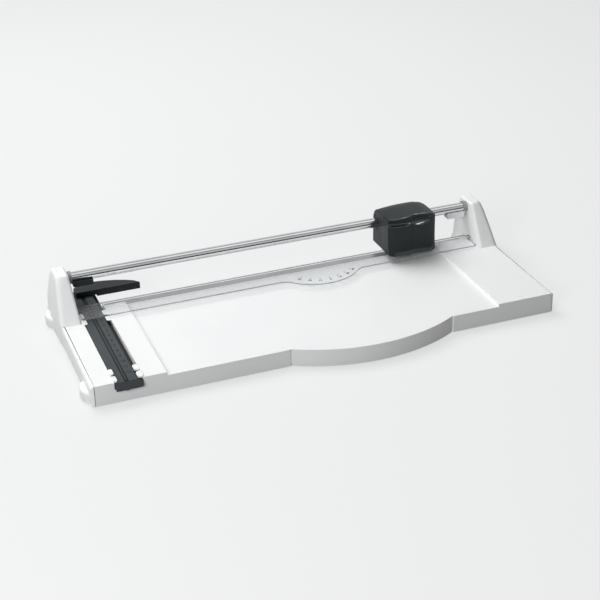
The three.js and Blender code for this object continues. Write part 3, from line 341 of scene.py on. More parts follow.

# %% [markdown]
# Printing ink
#
# The angle marks are printed on the clear strip and the gauge numbers are sunk in the slide. Both
# are drawn as very thin pieces of their own, so each needs a dark, matt finish: ink for the print,
# and for the numbers a painted shade of the hollows they sit in.

# %% Ink, and painted shade for the engraving
printed_ink = moulding(
    "printed_ink", (0.012, 0.012, 0.013), (0.02, 0.02, 0.021),
    rough=(0.5, 0.6), grain=3000, relief=0.004 * MM, shine=0.3)
# Painted shade: the sunk gauge numbers and ticks are as dark as the shade in their hollows
engraved_dark = moulding(
    "engraved_dark", (0.016, 0.018, 0.02), (0.022, 0.025, 0.027),
    rough=(0.55, 0.65), grain=3000, relief=0.004 * MM, shine=0.2)
print("Marks:", printed_ink.name, engraved_dark.name)

# %% [markdown]
# Pieces that ride
#
# A piece needs the CAD body that carries it and the nodes that it stands for. The record already
# lists the body and the material slot of every node, so a helper reads them there and no piece can
# end up on the wrong body.

# %% Helpers for pieces
body_of = {
    node: body for body, members in record["behaviour"]["bodies"].items() for node in members}
slot_of = {part["node"]: part["material_slot"] for part in record["subparts"]}


def new_piece(name, mesh):
    piece = bpy.data.objects.new(name, mesh)
    bpy.context.scene.collection.objects.link(piece)
    return piece


def settle(piece, body, slot, *stands_for):
    """Attaches the piece to the body that it rides on and hides the nodes that it replaces. Its
    slot is not used.
    """
    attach(piece, body)
    if stands_for:
        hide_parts(*stands_for)


def freeze(piece):
    """Turns the piece's modifiers into plain mesh."""
    graph = bpy.context.evaluated_depsgraph_get()
    mesh = bpy.data.meshes.new_from_object(piece.evaluated_get(graph))
    piece.modifiers.clear()
    piece.data = mesh
    return piece


print("Bodies:", sorted(set(body_of.values())))

# %% [markdown]
# Geometry Nodes
#
# Screws, ticks and the rail repeat or follow a path, so node trees make them. One helper starts a
# tree with named inputs, one adds a node and feeds its sockets, one closes the tree, and the last
# runs it and turns the result into plain mesh.

# %% Helpers for Geometry Nodes
def new_tree(name, inputs):
    """A tree whose inputs are given as label: (kind of socket, default value)."""
    tree = bpy.data.node_groups.new(name, "GeometryNodeTree")
    tree.interface.new_socket("Geometry", in_out="INPUT", socket_type="NodeSocketGeometry")
    for label, (kind, value) in inputs.items():
        socket = tree.interface.new_socket(label, in_out="INPUT", socket_type=f"NodeSocket{kind}")
        if value is not None:
            socket.default_value = value
    tree.interface.new_socket("Geometry", in_out="OUTPUT", socket_type="NodeSocketGeometry")
    return tree, tree.nodes.new("NodeGroupInput").outputs


def feed(tree, kind, sources, **settings):
    """Adds a node and gives its sockets, by name or number, a link or a plain value."""
    node = add_node(tree, kind, **settings)
    for socket, source in sources.items():
        if isinstance(source, bpy.types.NodeSocket):
            tree.links.new(source, node.inputs[socket])
        else:
            node.inputs[socket].default_value = source
    return node


def close_tree(tree, geometry, material, crease=math.radians(30)):
    """Real mesh, smooth but for its creases, with its material."""
    real = feed(tree, "GeometryNodeRealizeInstances", {"Geometry": geometry})
    smooth = feed(tree, "GeometryNodeSetShadeSmooth", {"Geometry": real.outputs["Geometry"]})
    angle = add_node(tree, "GeometryNodeInputMeshEdgeAngle")
    sharp = feed(tree, "FunctionNodeCompare", {"A": angle.outputs["Unsigned Angle"], "B": crease})
    creased = feed(tree, "GeometryNodeSetShadeSmooth", {
        "Geometry": smooth.outputs["Geometry"], "Selection": sharp.outputs["Result"],
        "Shade Smooth": False}, domain="EDGE")
    painted = feed(tree, "GeometryNodeSetMaterial", {
        "Geometry": creased.outputs["Geometry"], "Material": material})
    goal = tree.nodes.new("NodeGroupOutput")
    tree.links.new(painted.outputs["Geometry"], goal.inputs["Geometry"])


def point_mesh(name, points):
    mesh = bpy.data.meshes.new(name)
    mesh.from_pydata(points, [], [])
    return mesh


def run_tree(name, tree, mesh, values):
    """A plain mesh piece: the tree's result on the mesh's points."""
    piece = new_piece(name, mesh)
    modifier = piece.modifiers.new(tree.name, "NODES")
    modifier.node_group = tree
    for item in tree.interface.items_tree:
        if item.name in values:
            modifier[item.identifier] = values[item.name]
    return freeze(piece)


print("Geometry Nodes helpers are ready")

# %% [markdown]
# Rounded copies of the mouldings
#
# A moulded piece has no sharp edge. The CAD solids do, so each gets a copy whose flat faces are
# joined again and whose edges are rounded by a Bevel modifier. The copy keeps every place and
# size of the solid, which is why this is better here than modelling the table a second time.

# %% Rounding helper
MERGE_DISTANCE = 0.02 * MM
FLAT_ANGLE = math.radians(0.5)
SHARP_ANGLE = math.radians(32)


def even_faces(node):
    """A fresh mesh of the CAD node, merged, with its flat faces cut into even triangles."""
    shape = bmesh.new()
    shape.from_mesh(cad_nodes[node].data)
    bmesh.ops.remove_doubles(shape, verts=shape.verts, dist=MERGE_DISTANCE)
    bmesh.ops.dissolve_limit(
        shape, angle_limit=FLAT_ANGLE, verts=shape.verts, edges=shape.edges)
    bmesh.ops.triangulate(shape, faces=shape.faces, ngon_method="BEAUTY")
    shape.verts.index_update()
    mesh = bpy.data.meshes.new(f"{node}_finished")
    corners = [[vert.index for vert in face.verts] for face in shape.faces]
    mesh.from_pydata([vert.co for vert in shape.verts], [], corners)
    shape.free()
    return mesh


def choose_edges(mesh, flush_y):
    """Sharp edges get a bevel weight. Those in the plane flush_y only stay sharp."""
    shape = bmesh.new()
    shape.from_mesh(mesh)
    weight = shape.edges.layers.float.new("bevel_weight_edge")
    for edge in shape.edges:
        if len(edge.link_faces) != 2 or edge.calc_face_angle() < SHARP_ANGLE:
            continue
        flush = flush_y is not None and all(
            abs(vert.co.y - flush_y) < 0.2 * MM for vert in edge.verts)
        edge.smooth = not flush
        edge[weight] = 0.0 if flush else 1.0
    shape.to_mesh(mesh)
    shape.free()


def rounded_copy(node, rounding, materials, flush_y=None, reshape=None, slot=None):
    """A copy of the node whose sharp edges are rounded by so many millimetres."""
    mesh = even_faces(node)
    if reshape:
        reshape(mesh)
    mesh.shade_smooth()
    choose_edges(mesh, flush_y)
    for material in materials:
        mesh.materials.append(material)
    piece = new_piece(f"{node}_finished", mesh)
    bevel = piece.modifiers.new("rounded edges", "BEVEL")
    bevel.width = rounding * MM
    bevel.segments = 2
    bevel.limit_method = "WEIGHT"
    bevel.use_clamp_overlap = False
    flat_faces = piece.modifiers.new("flat faces stay flat", "WEIGHTED_NORMAL")
    flat_faces.keep_sharp = True
    freeze(piece)
    settle(piece, body_of[node], slot or slot_of[node], node)
    return piece


print("Rounding helper is ready")

# %% [markdown]
# Table and uprights
#
# The table is one white moulding with a sunk paper bed, and each upright is a pillar, a side
# skirt and two foot pods in one. Their edges are rounded by about half a millimetre.

# %% White mouldings
WHITE_ROUNDING = {"base_table": 0.4, "left_upright": 0.5, "right_upright": 0.5}
for node, rounding in WHITE_ROUNDING.items():
    piece = rounded_copy(node, rounding, [white_moulding])
    print(piece.name, len(piece.data.polygons), "faces")

# %% [markdown]
# Charcoal mouldings
#
# The cutting head is two shells and a cap, and the stop bar and the left stop block are small
# mouldings of the same plastic, while the right stop block is as white as its upright. The shells
# meet in a plane along the head. Its edges stay sharp, because a rounded seam there would draw a
# line that the real head doesn't show. The head's front left corner is drawn back a little, and
# the lips that look up and forward are smoother than the rest and painted lighter, a painted
# highlight where they catch the light.

# %% Charcoal mouldings
HEAD_SPLIT = at(0, 146, 0).y
CHARCOAL_ROUNDING = {
    "head_front_shell": (0.35, HEAD_SPLIT),
    "head_rear_shell": (0.35, HEAD_SPLIT),
    "head_cap": (0.3, None),
    "stop_bar": (0.5, None),
    "stop_block_left": (0.4, None),
}
HEAD_LEFT = at(332, 0, 0).x
HEAD_FRONT = at(0, 132, 0).y
CORNER_WIDTH = 6 * MM
CORNER_DEPTH = 3 * MM
CORNER_REACH = 1.2
LIP_SLOPE = 0.25


def round_left_corner(mesh):
    """Draws the head's front left corner back, as on the real one."""
    for vert in mesh.vertices:
        nearness = 1 - (vert.co.x - HEAD_LEFT) / CORNER_WIDTH
        if 0 < nearness <= CORNER_REACH and vert.co.y < HEAD_FRONT:
            vert.co.y += CORNER_DEPTH * min(nearness, 1) ** 2


def polish_lips(piece):
    """Gives the head's front edges that look up and forward a smoother finish and a lighter
    colour, a painted highlight.
    """
    piece.data.materials.append(lip_moulding)
    for face in piece.data.polygons:
        # Faces that look up and forward get the lighter colour, a painted highlight
        if face.normal.y < -LIP_SLOPE and face.normal.z > LIP_SLOPE:
            face.material_index = 1


for node, (rounding, flush_y) in CHARCOAL_ROUNDING.items():
    on_front = node in ("head_front_shell", "head_cap")
    piece = rounded_copy(
        node, rounding, [charcoal_moulding], flush_y=flush_y,
        reshape=round_left_corner if on_front else None)
    if on_front:
        polish_lips(piece)
    print(piece.name, len(piece.data.polygons), "faces")

right_stop = rounded_copy("stop_block_right", 0.4, [white_moulding], slot="white_plastic")
print(right_stop.name, len(right_stop.data.polygons), "faces, white as its upright")

# %% [markdown]
# Gauge slide
#
# The slide is a long charcoal bar with a groove and, along its right side, a lower ledge. Both
# lie in shade, and that shade is painted: their faces get a darker colour than the top with its
# numbers. The front lip and the rear end, under the stop bar, keep the slide's own finish.

# %% Gauge slide
GROOVE = (26.4, 31.0)
LEDGE = 38.4
SLIDE_TOP = 20.5
SUNK_BY = 0.3
SHADED_LENGTH = (2, 160)

gauge = rounded_copy("gauge_slide", 0.25, [gauge_moulding, groove_moulding])
groove_left, groove_right, ledge_left = (at(x, 0, 0).x for x in (*GROOVE, LEDGE))
shaded_front, shaded_rear = (at(0, y, 0).y for y in SHADED_LENGTH)
# Sunk groove and ledge faces behind the lip get the painted shade
for face in gauge.data.polygons:
    sunk = face.center.z < (SLIDE_TOP - SUNK_BY) * MM
    in_groove = groove_left < face.center.x < groove_right
    behind_lip = shaded_front < face.center.y < shaded_rear
    dark = sunk and behind_lip and (in_groove or face.center.x > ledge_left)
    face.material_index = 1 if dark else 0
print(gauge.name, sum(face.material_index for face in gauge.data.polygons), "dark faces")

# %% [markdown]
# Numbers
#
# Numbers are the only lettering on the machine: centimetres along the gauge slide and degrees on
# the clear strip. Each is a Text object with a little thickness. It becomes mesh first and is
# placed after that, and all the numbers of one body are gathered into one piece.

# %% Number helper
INK_DEPTH = 0.03
BOLDNESS = 0.12
DIGIT_SHARE = 0.7


def number_mesh(text, height):
    """A flat number in the XY plane, centred on the origin, with digits of the given height."""
    data = bpy.data.curves.new(f"number {text}", "FONT")
    data.body = text
    data.size = height * MM / DIGIT_SHARE
    data.align_x = "CENTER"
    data.align_y = "CENTER"
    data.extrude = INK_DEPTH / 2 * MM
    data.offset = BOLDNESS * MM
    data.resolution_u = 4
    holder = new_piece(data.name, data)
    graph = bpy.context.evaluated_depsgraph_get()
    mesh = bpy.data.meshes.new_from_object(holder.evaluated_get(graph))
    bpy.data.objects.remove(holder)
    return mesh


def gather_numbers(name, numbers, height, material):
    """One piece of all the numbers, each given as text, place in mm and turn in degrees."""
    whole = bmesh.new()
    for text, place, turn_degrees in numbers:
        mesh = number_mesh(text, height)
        mesh.transform(
            Matrix.Translation(at(*place)) @ Matrix.Rotation(math.radians(turn_degrees), 4, "Z"))
        whole.from_mesh(mesh)
    bmesh.ops.remove_doubles(whole, verts=whole.verts, dist=0.001 * MM)
    mesh = bpy.data.meshes.new(name)
    whole.to_mesh(mesh)
    whole.free()
    mesh.materials.append(material)
    return new_piece(name, mesh)


print("Number helper is ready")

# %% [markdown]
# Ticks
#
# Each number has a tick beside it. The ticks are one thin bar that a node tree puts on points,
# turned by a value that each point carries, so the straight scale and the arc share the tree.

# %% Tick tree
tick_tree, given = new_tree("tick_marks", {
    "Width": ("Float", 0.3 * MM),
    "Length": ("Float", 2 * MM),
    "Depth": ("Float", INK_DEPTH * MM),
    "Material": ("Material", None),
})
tick_size = feed(tick_tree, "ShaderNodeCombineXYZ", {
    "X": given["Width"], "Y": given["Length"], "Z": given["Depth"]})
bar = feed(tick_tree, "GeometryNodeMeshCube", {"Size": tick_size.outputs["Vector"]})
turned = feed(
    tick_tree, "GeometryNodeInputNamedAttribute", {"Name": "turn"}, data_type="FLOAT_VECTOR")
spin = feed(tick_tree, "FunctionNodeEulerToRotation", {"Euler": turned.outputs["Attribute"]})
ticks = feed(tick_tree, "GeometryNodeInstanceOnPoints", {
    "Points": given["Geometry"], "Instance": bar.outputs["Mesh"],
    "Rotation": spin.outputs["Rotation"]})
close_tree(tick_tree, ticks.outputs["Instances"], given["Material"])


def tick_piece(name, places, turns, width, length, material, depth=INK_DEPTH):
    """Ticks at the places, each turned about Z by the given degrees."""
    mesh = point_mesh(name, [at(*place) for place in places])
    turn_data = mesh.attributes.new("turn", "FLOAT_VECTOR", "POINT").data
    for item, degrees in zip(turn_data, turns):
        item.vector = (0, 0, math.radians(degrees))
    values = {
        "Width": width * MM, "Length": length * MM, "Depth": depth * MM, "Material": material}
    return run_tree(name, tick_tree, mesh, values)


print("Tick tree with", len(tick_tree.nodes), "nodes")

# %% [markdown]
# Marks on the gauge slide
#
# The slide shows how far its stop bar is set back, in centimetres. The numbers grow towards the
# front, because the slide is pushed to the rear for longer sheets. A fine rib runs along the
# groove. It is one long tick.

# %% Gauge numbers
FIRST_NUMBER = 12
FIRST_NUMBER_Y = 15.0
CENTIMETRE = 10.15
GAUGE_NUMBERS = 12
NUMBER_X = 34.4
NUMBER_HEIGHT = 3.0
TICK_X = 31.6
RIB_MIDDLE = (28.7, 77, 20.05)

gauge_rows = [
    (FIRST_NUMBER - row, FIRST_NUMBER_Y + row * CENTIMETRE) for row in range(GAUGE_NUMBERS)]
mark_z = SLIDE_TOP + INK_DEPTH / 2
gauge_numbers = gather_numbers(
    "gauge_numbers", [(str(value), (NUMBER_X, y, mark_z), 0) for value, y in gauge_rows],
    NUMBER_HEIGHT, engraved_dark)
gauge_ticks = tick_piece(
    "gauge_ticks", [(TICK_X, y, mark_z) for _, y in gauge_rows], [0] * GAUGE_NUMBERS,
    width=1.0, length=0.35, material=engraved_dark)
gauge_rib = tick_piece(
    "gauge_rib", [RIB_MIDDLE], [0], width=1.2, length=148, material=gauge_moulding, depth=0.55)
for piece in (gauge_numbers, gauge_ticks, gauge_rib):
    settle(piece, "gauge", "charcoal_plastic")
print("Gauge numbers:", [value for value, _ in gauge_rows])

# %% [markdown]
# Clear strip
#
# The strip lies over the paper along the whole cut and swells to a bow that carries the angle
# scale. Its upper and lower faces let the light through, and its edges get a painted shade.

# %% Clear strip
LEVEL_ENOUGH = 0.9
strip = rounded_copy("clamp_strip", 0.15, [clear_face, clear_edge])
# Faces that don't look up or down are edges and get the painted shade
for face in strip.data.polygons:
    face.material_index = 0 if abs(face.normal.z) > LEVEL_ENOUGH else 1
print(strip.name, len(strip.data.polygons), "faces")

# %% [markdown]
# Marks on the clear strip
#
# Seven angles from 45 degrees to the left to 45 degrees to the right are printed on the bow, each
# under a short radial tick. They turn about the middle of the strip's rear edge.

# %% Degree marks
STRIP_TOP = 24.2
DEGREE_CENTRE = (261, 145)
DEGREES = (-45, -30, -15, 0, 15, 30, 45)
DEGREE_RADIUS = 40
DEGREE_HEIGHT = 2.6
DEGREE_TICK_RADIUS = 35.8


def on_arc(radius, degrees):
    """A place on the strip's top, at a radius and an angle from straight forward."""
    turn_angle = math.radians(degrees)
    return (
        DEGREE_CENTRE[0] + radius * math.sin(turn_angle),
        DEGREE_CENTRE[1] - radius * math.cos(turn_angle),
        STRIP_TOP + INK_DEPTH / 2,
    )


degree_numbers = gather_numbers(
    "degree_numbers",
    [(str(abs(degrees)), on_arc(DEGREE_RADIUS, degrees), degrees) for degrees in DEGREES],
    DEGREE_HEIGHT, printed_ink)
degree_ticks = tick_piece(
    "degree_ticks", [on_arc(DEGREE_TICK_RADIUS, degrees) for degrees in DEGREES], DEGREES,
    width=0.55, length=2.4, material=printed_ink)
for piece in (degree_numbers, degree_ticks):
    settle(piece, "clamp", "clear_plastic")
print("Degree marks:", len(DEGREES))

# %% [markdown]
# Guide rail
#
# The head runs on one polished round bar between the uprights. A bar follows a path by a rule, so
# a tree sweeps a circle along a line and narrows both ends to a small chamfer. Many sides keep
# its mirrored lines straight.

# %% Guide rail
rail_tree, given = new_tree("round_bar", {
    "Start": ("Vector", (0, 0, 0)),
    "End": ("Vector", (1, 0, 0)),
    "Radius": ("Float", 5 * MM),
    "Chamfer": ("Float", 0.5 * MM),
    "Sides": ("Int", 96),
    "Material": ("Material", None),
})
run = feed(
    rail_tree, "ShaderNodeVectorMath", {0: given["End"], 1: given["Start"]}, operation="SUBTRACT")
along = feed(rail_tree, "ShaderNodeVectorMath", {0: run.outputs["Vector"]}, operation="NORMALIZE")
inset = feed(rail_tree, "ShaderNodeVectorMath", {
    0: along.outputs["Vector"], "Scale": given["Chamfer"]}, operation="SCALE")
line = feed(
    rail_tree, "GeometryNodeCurvePrimitiveLine", {"Start": given["Start"], "End": given["End"]})
bar_path = feed(
    rail_tree, "GeometryNodeResampleCurve", {"Curve": line.outputs["Curve"], "Count": 4})
index = add_node(rail_tree, "GeometryNodeInputIndex")
for number, end, operation in ((1, "Start", "ADD"), (2, "End", "SUBTRACT")):
    chosen = feed(rail_tree, "FunctionNodeCompare", {
        2: index.outputs["Index"], 3: number}, data_type="INT", operation="EQUAL")
    station = feed(rail_tree, "ShaderNodeVectorMath", {
        0: given[end], 1: inset.outputs["Vector"]}, operation=operation)
    bar_path = feed(rail_tree, "GeometryNodeSetPosition", {
        "Geometry": bar_path.outputs[0], "Selection": chosen.outputs["Result"],
        "Position": station.outputs["Vector"]})
ends = add_node(rail_tree, "GeometryNodeCurveEndpointSelection")
taper = feed(
    rail_tree, "ShaderNodeMath", {0: given["Chamfer"], 1: given["Radius"]}, operation="DIVIDE")
cut = feed(rail_tree, "ShaderNodeMath", {
    0: ends.outputs["Selection"], 1: taper.outputs["Value"]}, operation="MULTIPLY")
kept = feed(rail_tree, "ShaderNodeMath", {0: 1.0, 1: cut.outputs["Value"]}, operation="SUBTRACT")
ring = feed(rail_tree, "GeometryNodeCurvePrimitiveCircle", {
    "Resolution": given["Sides"], "Radius": given["Radius"]})
swept = feed(rail_tree, "GeometryNodeCurveToMesh", {
    "Curve": bar_path.outputs["Geometry"], "Profile Curve": ring.outputs["Curve"],
    "Scale": kept.outputs["Value"], "Fill Caps": True})
close_tree(rail_tree, swept.outputs["Mesh"], given["Material"])

rail_low, rail_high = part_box("guide_rail")
rail_middle = (rail_low + rail_high) / 2
rail = run_tree("guide_rail_finished", rail_tree, point_mesh("guide_rail_finished", []), {
    "Start": (rail_low.x, rail_middle.y, rail_middle.z),
    "End": (rail_high.x, rail_middle.y, rail_middle.z),
    "Radius": (rail_high.z - rail_low.z) / 2,
    "Material": polished_bar,
})
settle(rail, "machine", "polished_steel", "guide_rail")
print("Rail:", len(rail.data.vertices), "vertices")
print("Rail's box in mm:", [round(v / MM, 2) for v in rail.dimensions])

# %% [markdown]
# Blades, bearings and feet
#
# The lower blade is a ground strip along the table's rear edge, and the wheel, its carrier and
# the pressure shoe sit inside the head. The rings round the rail's ends are grey, the bushes in
# the head are as dark as the head, and four rubber feet carry the table.

# %% Blades, bearings and feet
SMALL_FINISHES = {
    "lower_blade": (0.12, ground_strip),
    "rotary_blade": (0.05, ground_plate),
    "blade_carrier": (0.2, ground_plate),
    "blade_hub": (0.3, bearing_plastic),
    "pressure_shoe": (0.4, bearing_plastic),
    "rail_ring_left": (0.2, bearing_plastic),
    "rail_ring_right": (0.2, bearing_plastic),
    "rail_bush_left": (0.3, bearing_dark),
    "rail_bush_right": (0.3, bearing_dark),
    "foot_front_left": (0.6, foot_rubber),
    "foot_front_right": (0.6, foot_rubber),
    "foot_rear_left": (0.6, foot_rubber),
    "foot_rear_right": (0.6, foot_rubber),
}
for node, (rounding, material) in SMALL_FINISHES.items():
    rounded_copy(node, rounding, [material])
print("Small finished pieces:", len(SMALL_FINISHES))

# %% [markdown]
# Screws
#
# Small cross-head screws hold the uprights, the lower blade, the stop bar and the head's rear
# shell. A tree builds one screw from a rim, a dome, a shank and two bars that cut the cross, and
# puts it on points. A random spin with a fixed seed turns each cross its own way.

# %% Screw tree
screw_tree, given = new_tree("cross_head_screw", {
    "Direction": ("Vector", (0, 0, 1)),
    "Head Radius": ("Float", 3 * MM),
    "Head Height": ("Float", 1.2 * MM),
    "Shank Radius": ("Float", 1.4 * MM),
    "Shank Length": ("Float", 10 * MM),
    "Seed": ("Int", 7),
    "Material": ("Material", None),
})


def scaled(socket, factor):
    """The socket's value times a plain factor."""
    times = feed(screw_tree, "ShaderNodeMath", {0: socket, 1: factor}, operation="MULTIPLY")
    return times.outputs["Value"]


def lifted(geometry, height):
    """The geometry moved up by the height's socket."""
    lift = feed(screw_tree, "ShaderNodeCombineXYZ", {"Z": height})
    return feed(screw_tree, "GeometryNodeTransform", {
        "Geometry": geometry, "Translation": lift.outputs["Vector"]}).outputs["Geometry"]


HEAD_SIDES = 28
SHANK_SIDES = 20
RIM_SHARE = 0.45
DOME_SHARE = 0.97
SHANK_SINK = -0.495
CROSS_LENGTH = 1.15
CROSS_WIDTH = 0.28
CROSS_RISE = 0.85

rim = feed(screw_tree, "GeometryNodeMeshCylinder", {
    "Vertices": HEAD_SIDES, "Radius": given["Head Radius"],
    "Depth": scaled(given["Head Height"], RIM_SHARE)})
ball = feed(screw_tree, "GeometryNodeMeshUVSphere", {
    "Segments": HEAD_SIDES, "Rings": HEAD_SIDES // 2, "Radius": 1.0})
dome_radius = scaled(given["Head Radius"], DOME_SHARE)
dome_size = feed(screw_tree, "ShaderNodeCombineXYZ", {
    "X": dome_radius, "Y": dome_radius, "Z": scaled(given["Head Height"], 1 - RIM_SHARE)})
flat_ball = feed(screw_tree, "GeometryNodeTransform", {
    "Geometry": ball.outputs["Mesh"], "Scale": dome_size.outputs["Vector"]})
shank = feed(screw_tree, "GeometryNodeMeshCylinder", {
    "Vertices": SHANK_SIDES, "Radius": given["Shank Radius"], "Depth": given["Shank Length"]})
solid = feed(
    screw_tree, "GeometryNodeMeshBoolean", {}, operation="UNION", solver="MANIFOLD")
for form in (
    lifted(rim.outputs["Mesh"], scaled(given["Head Height"], RIM_SHARE / 2)),
    lifted(flat_ball.outputs["Geometry"], scaled(given["Head Height"], RIM_SHARE)),
    lifted(shank.outputs["Mesh"], scaled(given["Shank Length"], SHANK_SINK)),
):
    screw_tree.links.new(form, solid.inputs["Mesh 2"])
crossed = feed(
    screw_tree, "GeometryNodeMeshBoolean", {"Mesh 1": solid.outputs["Mesh"]}, solver="MANIFOLD")
for across, deep in ((CROSS_LENGTH, CROSS_WIDTH), (CROSS_WIDTH, CROSS_LENGTH)):
    bar_size = feed(screw_tree, "ShaderNodeCombineXYZ", {
        "X": scaled(given["Head Radius"], across), "Y": scaled(given["Head Radius"], deep),
        "Z": given["Head Height"]})
    cutter = feed(screw_tree, "GeometryNodeMeshCube", {"Size": bar_size.outputs["Vector"]})
    raised = lifted(cutter.outputs["Mesh"], scaled(given["Head Height"], CROSS_RISE))
    screw_tree.links.new(raised, crossed.inputs["Mesh 2"])
aimed = feed(
    screw_tree, "FunctionNodeAlignRotationToVector", {"Vector": given["Direction"]}, axis="Z")
chance = feed(screw_tree, "FunctionNodeRandomValue", {
    2: 0.0, 3: math.pi, "Seed": given["Seed"]}, data_type="FLOAT")
own_turn = feed(screw_tree, "FunctionNodeAxisAngleToRotation", {
    "Axis": (0, 0, 1), "Angle": chance.outputs[1]})
spun = feed(screw_tree, "FunctionNodeRotateRotation", {
    "Rotation": aimed.outputs["Rotation"], "Rotate By": own_turn.outputs["Rotation"]},
    rotation_space="LOCAL")
placed = feed(screw_tree, "GeometryNodeInstanceOnPoints", {
    "Points": given["Geometry"], "Instance": crossed.outputs["Mesh"],
    "Rotation": spun.outputs["Rotation"]})
close_tree(screw_tree, placed.outputs["Instances"], given["Material"])
print("Screw tree with", len(screw_tree.nodes), "nodes")

# %% Screws in place
HEAD_HEIGHT = 1.2 * MM


def screw_piece(name, body, nodes, direction, shank_share=1.0):
    """Screws in the places of the nodes. Direction points out of the heads."""
    direction = Vector(direction)
    seats = []
    for node in nodes:
        low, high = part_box(node)
        middle = (low + high) / 2
        length = abs((high - low).dot(direction))
        width = max((high - low) - Vector(abs(v) for v in direction) * length)
        seats.append(middle + direction * (length / 2 - HEAD_HEIGHT))
    piece = run_tree(name, screw_tree, point_mesh(name, seats), {
        "Direction": direction, "Head Radius": width / 2, "Head Height": HEAD_HEIGHT,
        "Shank Length": (length - HEAD_HEIGHT) * shank_share, "Material": plated_steel})
    settle(piece, body, "screw_steel", *nodes)
    print(name, len(nodes), "screws,", len(piece.data.polygons), "faces")


DOWN = (0, 0, -1)
REAR = (0, 1, 0)
screw_piece("head_screws", "cutting_head", [f"head_screw_{n}" for n in range(1, 5)], REAR)
screw_piece(
    "upright_screws", "machine",
    [f"upright_screw_{side}_{n}" for side in ("left", "right") for n in (1, 2)], DOWN)
screw_piece("blade_screws", "machine", [f"blade_screw_{n}" for n in range(1, 6)], DOWN)
# The bar's left screw stands at its very end, so these shanks stop inside the slide
screw_piece(
    "stop_bar_screws", "gauge", ["stop_bar_screw_1", "stop_bar_screw_2"], DOWN, shank_share=0.35)

# %% [markdown]
# Springs, nut and clip
#
# The springs, the blade's nut, its axle and its clip are CAD solids of the right shape. They keep
# their meshes, some of which stretch with a joint, and only get the plated finish.

# %% Plated steel on the springs, nut, axle and clip
PLATED_NODES = (
    "blade_nut", "blade_axle", "axle_clip", "blade_spring", "clamp_spring_left",
    "clamp_spring_right", "shoe_spring_left", "shoe_spring_right")
for name in PLATED_NODES:
    materials = cad_nodes[name].data.materials
    materials.clear()
    materials.append(plated_steel)
print("Plated nodes:", len(PLATED_NODES))

# %% [markdown]
# The floor
#
# The photograph is a cut-out on a pale ground. A plain white plane would do for the camera, but
# it would also throw so much light back up that the fronts would turn white, and the photograph
# shows them grey. So the floor tells its rays apart with a Light Path node: the camera sees it
# pale, with the trimmer's shadow, metal and glass see it pale but dark in front, as in a studio,
# and the light that bounces off it is that of a grey table.

# %% Floor
HALF_FLOOR = 6.0
floor_mesh = bpy.data.meshes.new("floor")
floor_mesh.from_pydata(
    [(-HALF_FLOOR, -HALF_FLOOR, 0), (HALF_FLOOR, -HALF_FLOOR, 0),
     (HALF_FLOOR, HALF_FLOOR, 0), (-HALF_FLOOR, HALF_FLOOR, 0)], [], [(0, 1, 2, 3)])
floor = new_piece("floor", floor_mesh)
print("Floor of", HALF_FLOOR * 2, "m")

# %% Floor finish
FLOOR_SEEN = (0.86, 0.865, 0.87)
FLOOR_GLOW = 0.7
FLOOR_LIT = (0.86, 0.865, 0.87)
FLOOR_BOUNCE = (0.25, 0.25, 0.25)
FRONT_DARKNESS = (0.06, 0.06, 0.065)
DARK_BEFORE = -0.3
PALE_BEHIND = -0.12

floor_paint, tree, bouncing = new_finish("floor_paint")
output = tree.nodes["Material Output"]
bouncing.inputs["Base Color"].default_value = (*FLOOR_BOUNCE, 1)
bouncing.inputs["Roughness"].default_value = 0.9
lit = add_node(tree, "ShaderNodeBsdfDiffuse")
lit.inputs["Color"].default_value = (*FLOOR_LIT, 1)
seen = add_node(tree, "ShaderNodeEmission")
seen.inputs["Color"].default_value = (*FLOOR_SEEN, 1)
pale = add_node(tree, "ShaderNodeMixShader")
pale.inputs["Fac"].default_value = FLOOR_GLOW
tree.links.new(lit.outputs["BSDF"], pale.inputs[1])
tree.links.new(seen.outputs["Emission"], pale.inputs[2])

floor_coords = add_node(tree, "ShaderNodeTexCoord")
floor_axes = add_node(tree, "ShaderNodeSeparateXYZ")
distance = add_node(tree, "ShaderNodeMapRange")
distance.inputs["From Min"].default_value = DARK_BEFORE
distance.inputs["From Max"].default_value = PALE_BEHIND
tree.links.new(floor_coords.outputs["Object"], floor_axes.inputs["Vector"])
tree.links.new(floor_axes.outputs["Y"], distance.inputs["Value"])
studio = add_node(tree, "ShaderNodeValToRGB")
studio.color_ramp.elements[0].color = (*FRONT_DARKNESS, 1)
studio.color_ramp.elements[1].color = (*FLOOR_SEEN, 1)
tree.links.new(distance.outputs["Result"], studio.inputs["Fac"])
mirrored = add_node(tree, "ShaderNodeEmission")
tree.links.new(studio.outputs["Color"], mirrored.inputs["Color"])

rays = add_node(tree, "ShaderNodeLightPath")
shiny = add_node(tree, "ShaderNodeMath", operation="MAXIMUM")
tree.links.new(rays.outputs["Is Glossy Ray"], shiny.inputs[0])
tree.links.new(rays.outputs["Is Transmission Ray"], shiny.inputs[1])
indirect = add_node(tree, "ShaderNodeMixShader")
tree.links.new(shiny.outputs["Value"], indirect.inputs["Fac"])
tree.links.new(bouncing.outputs["BSDF"], indirect.inputs[1])
tree.links.new(mirrored.outputs["Emission"], indirect.inputs[2])
whole = add_node(tree, "ShaderNodeMixShader")
tree.links.new(rays.outputs["Is Camera Ray"], whole.inputs["Fac"])
tree.links.new(indirect.outputs["Shader"], whole.inputs[1])
tree.links.new(pale.outputs["Shader"], whole.inputs[2])
tree.links.new(whole.outputs["Shader"], output.inputs["Surface"])
floor_mesh.materials.append(floor_paint)
print("Floor finish:", floor_paint.name)

# %% [markdown]
# The lamps
#
# The shading of the white faces gives the lamps away. The tops are white while the slopes of the
# uprights, which also look up but forward, are grey, so the strongest lamp stands behind and to
# the left. The bow front's two flanks differ by the side light alone, so a second lamp stands low
# at the front left, with a weak panel at the left. These three stay out of reflections, where the
# world's ramp takes their place. A slim lamp, linked to the head's two front pieces alone, draws
# the light line along its lip.

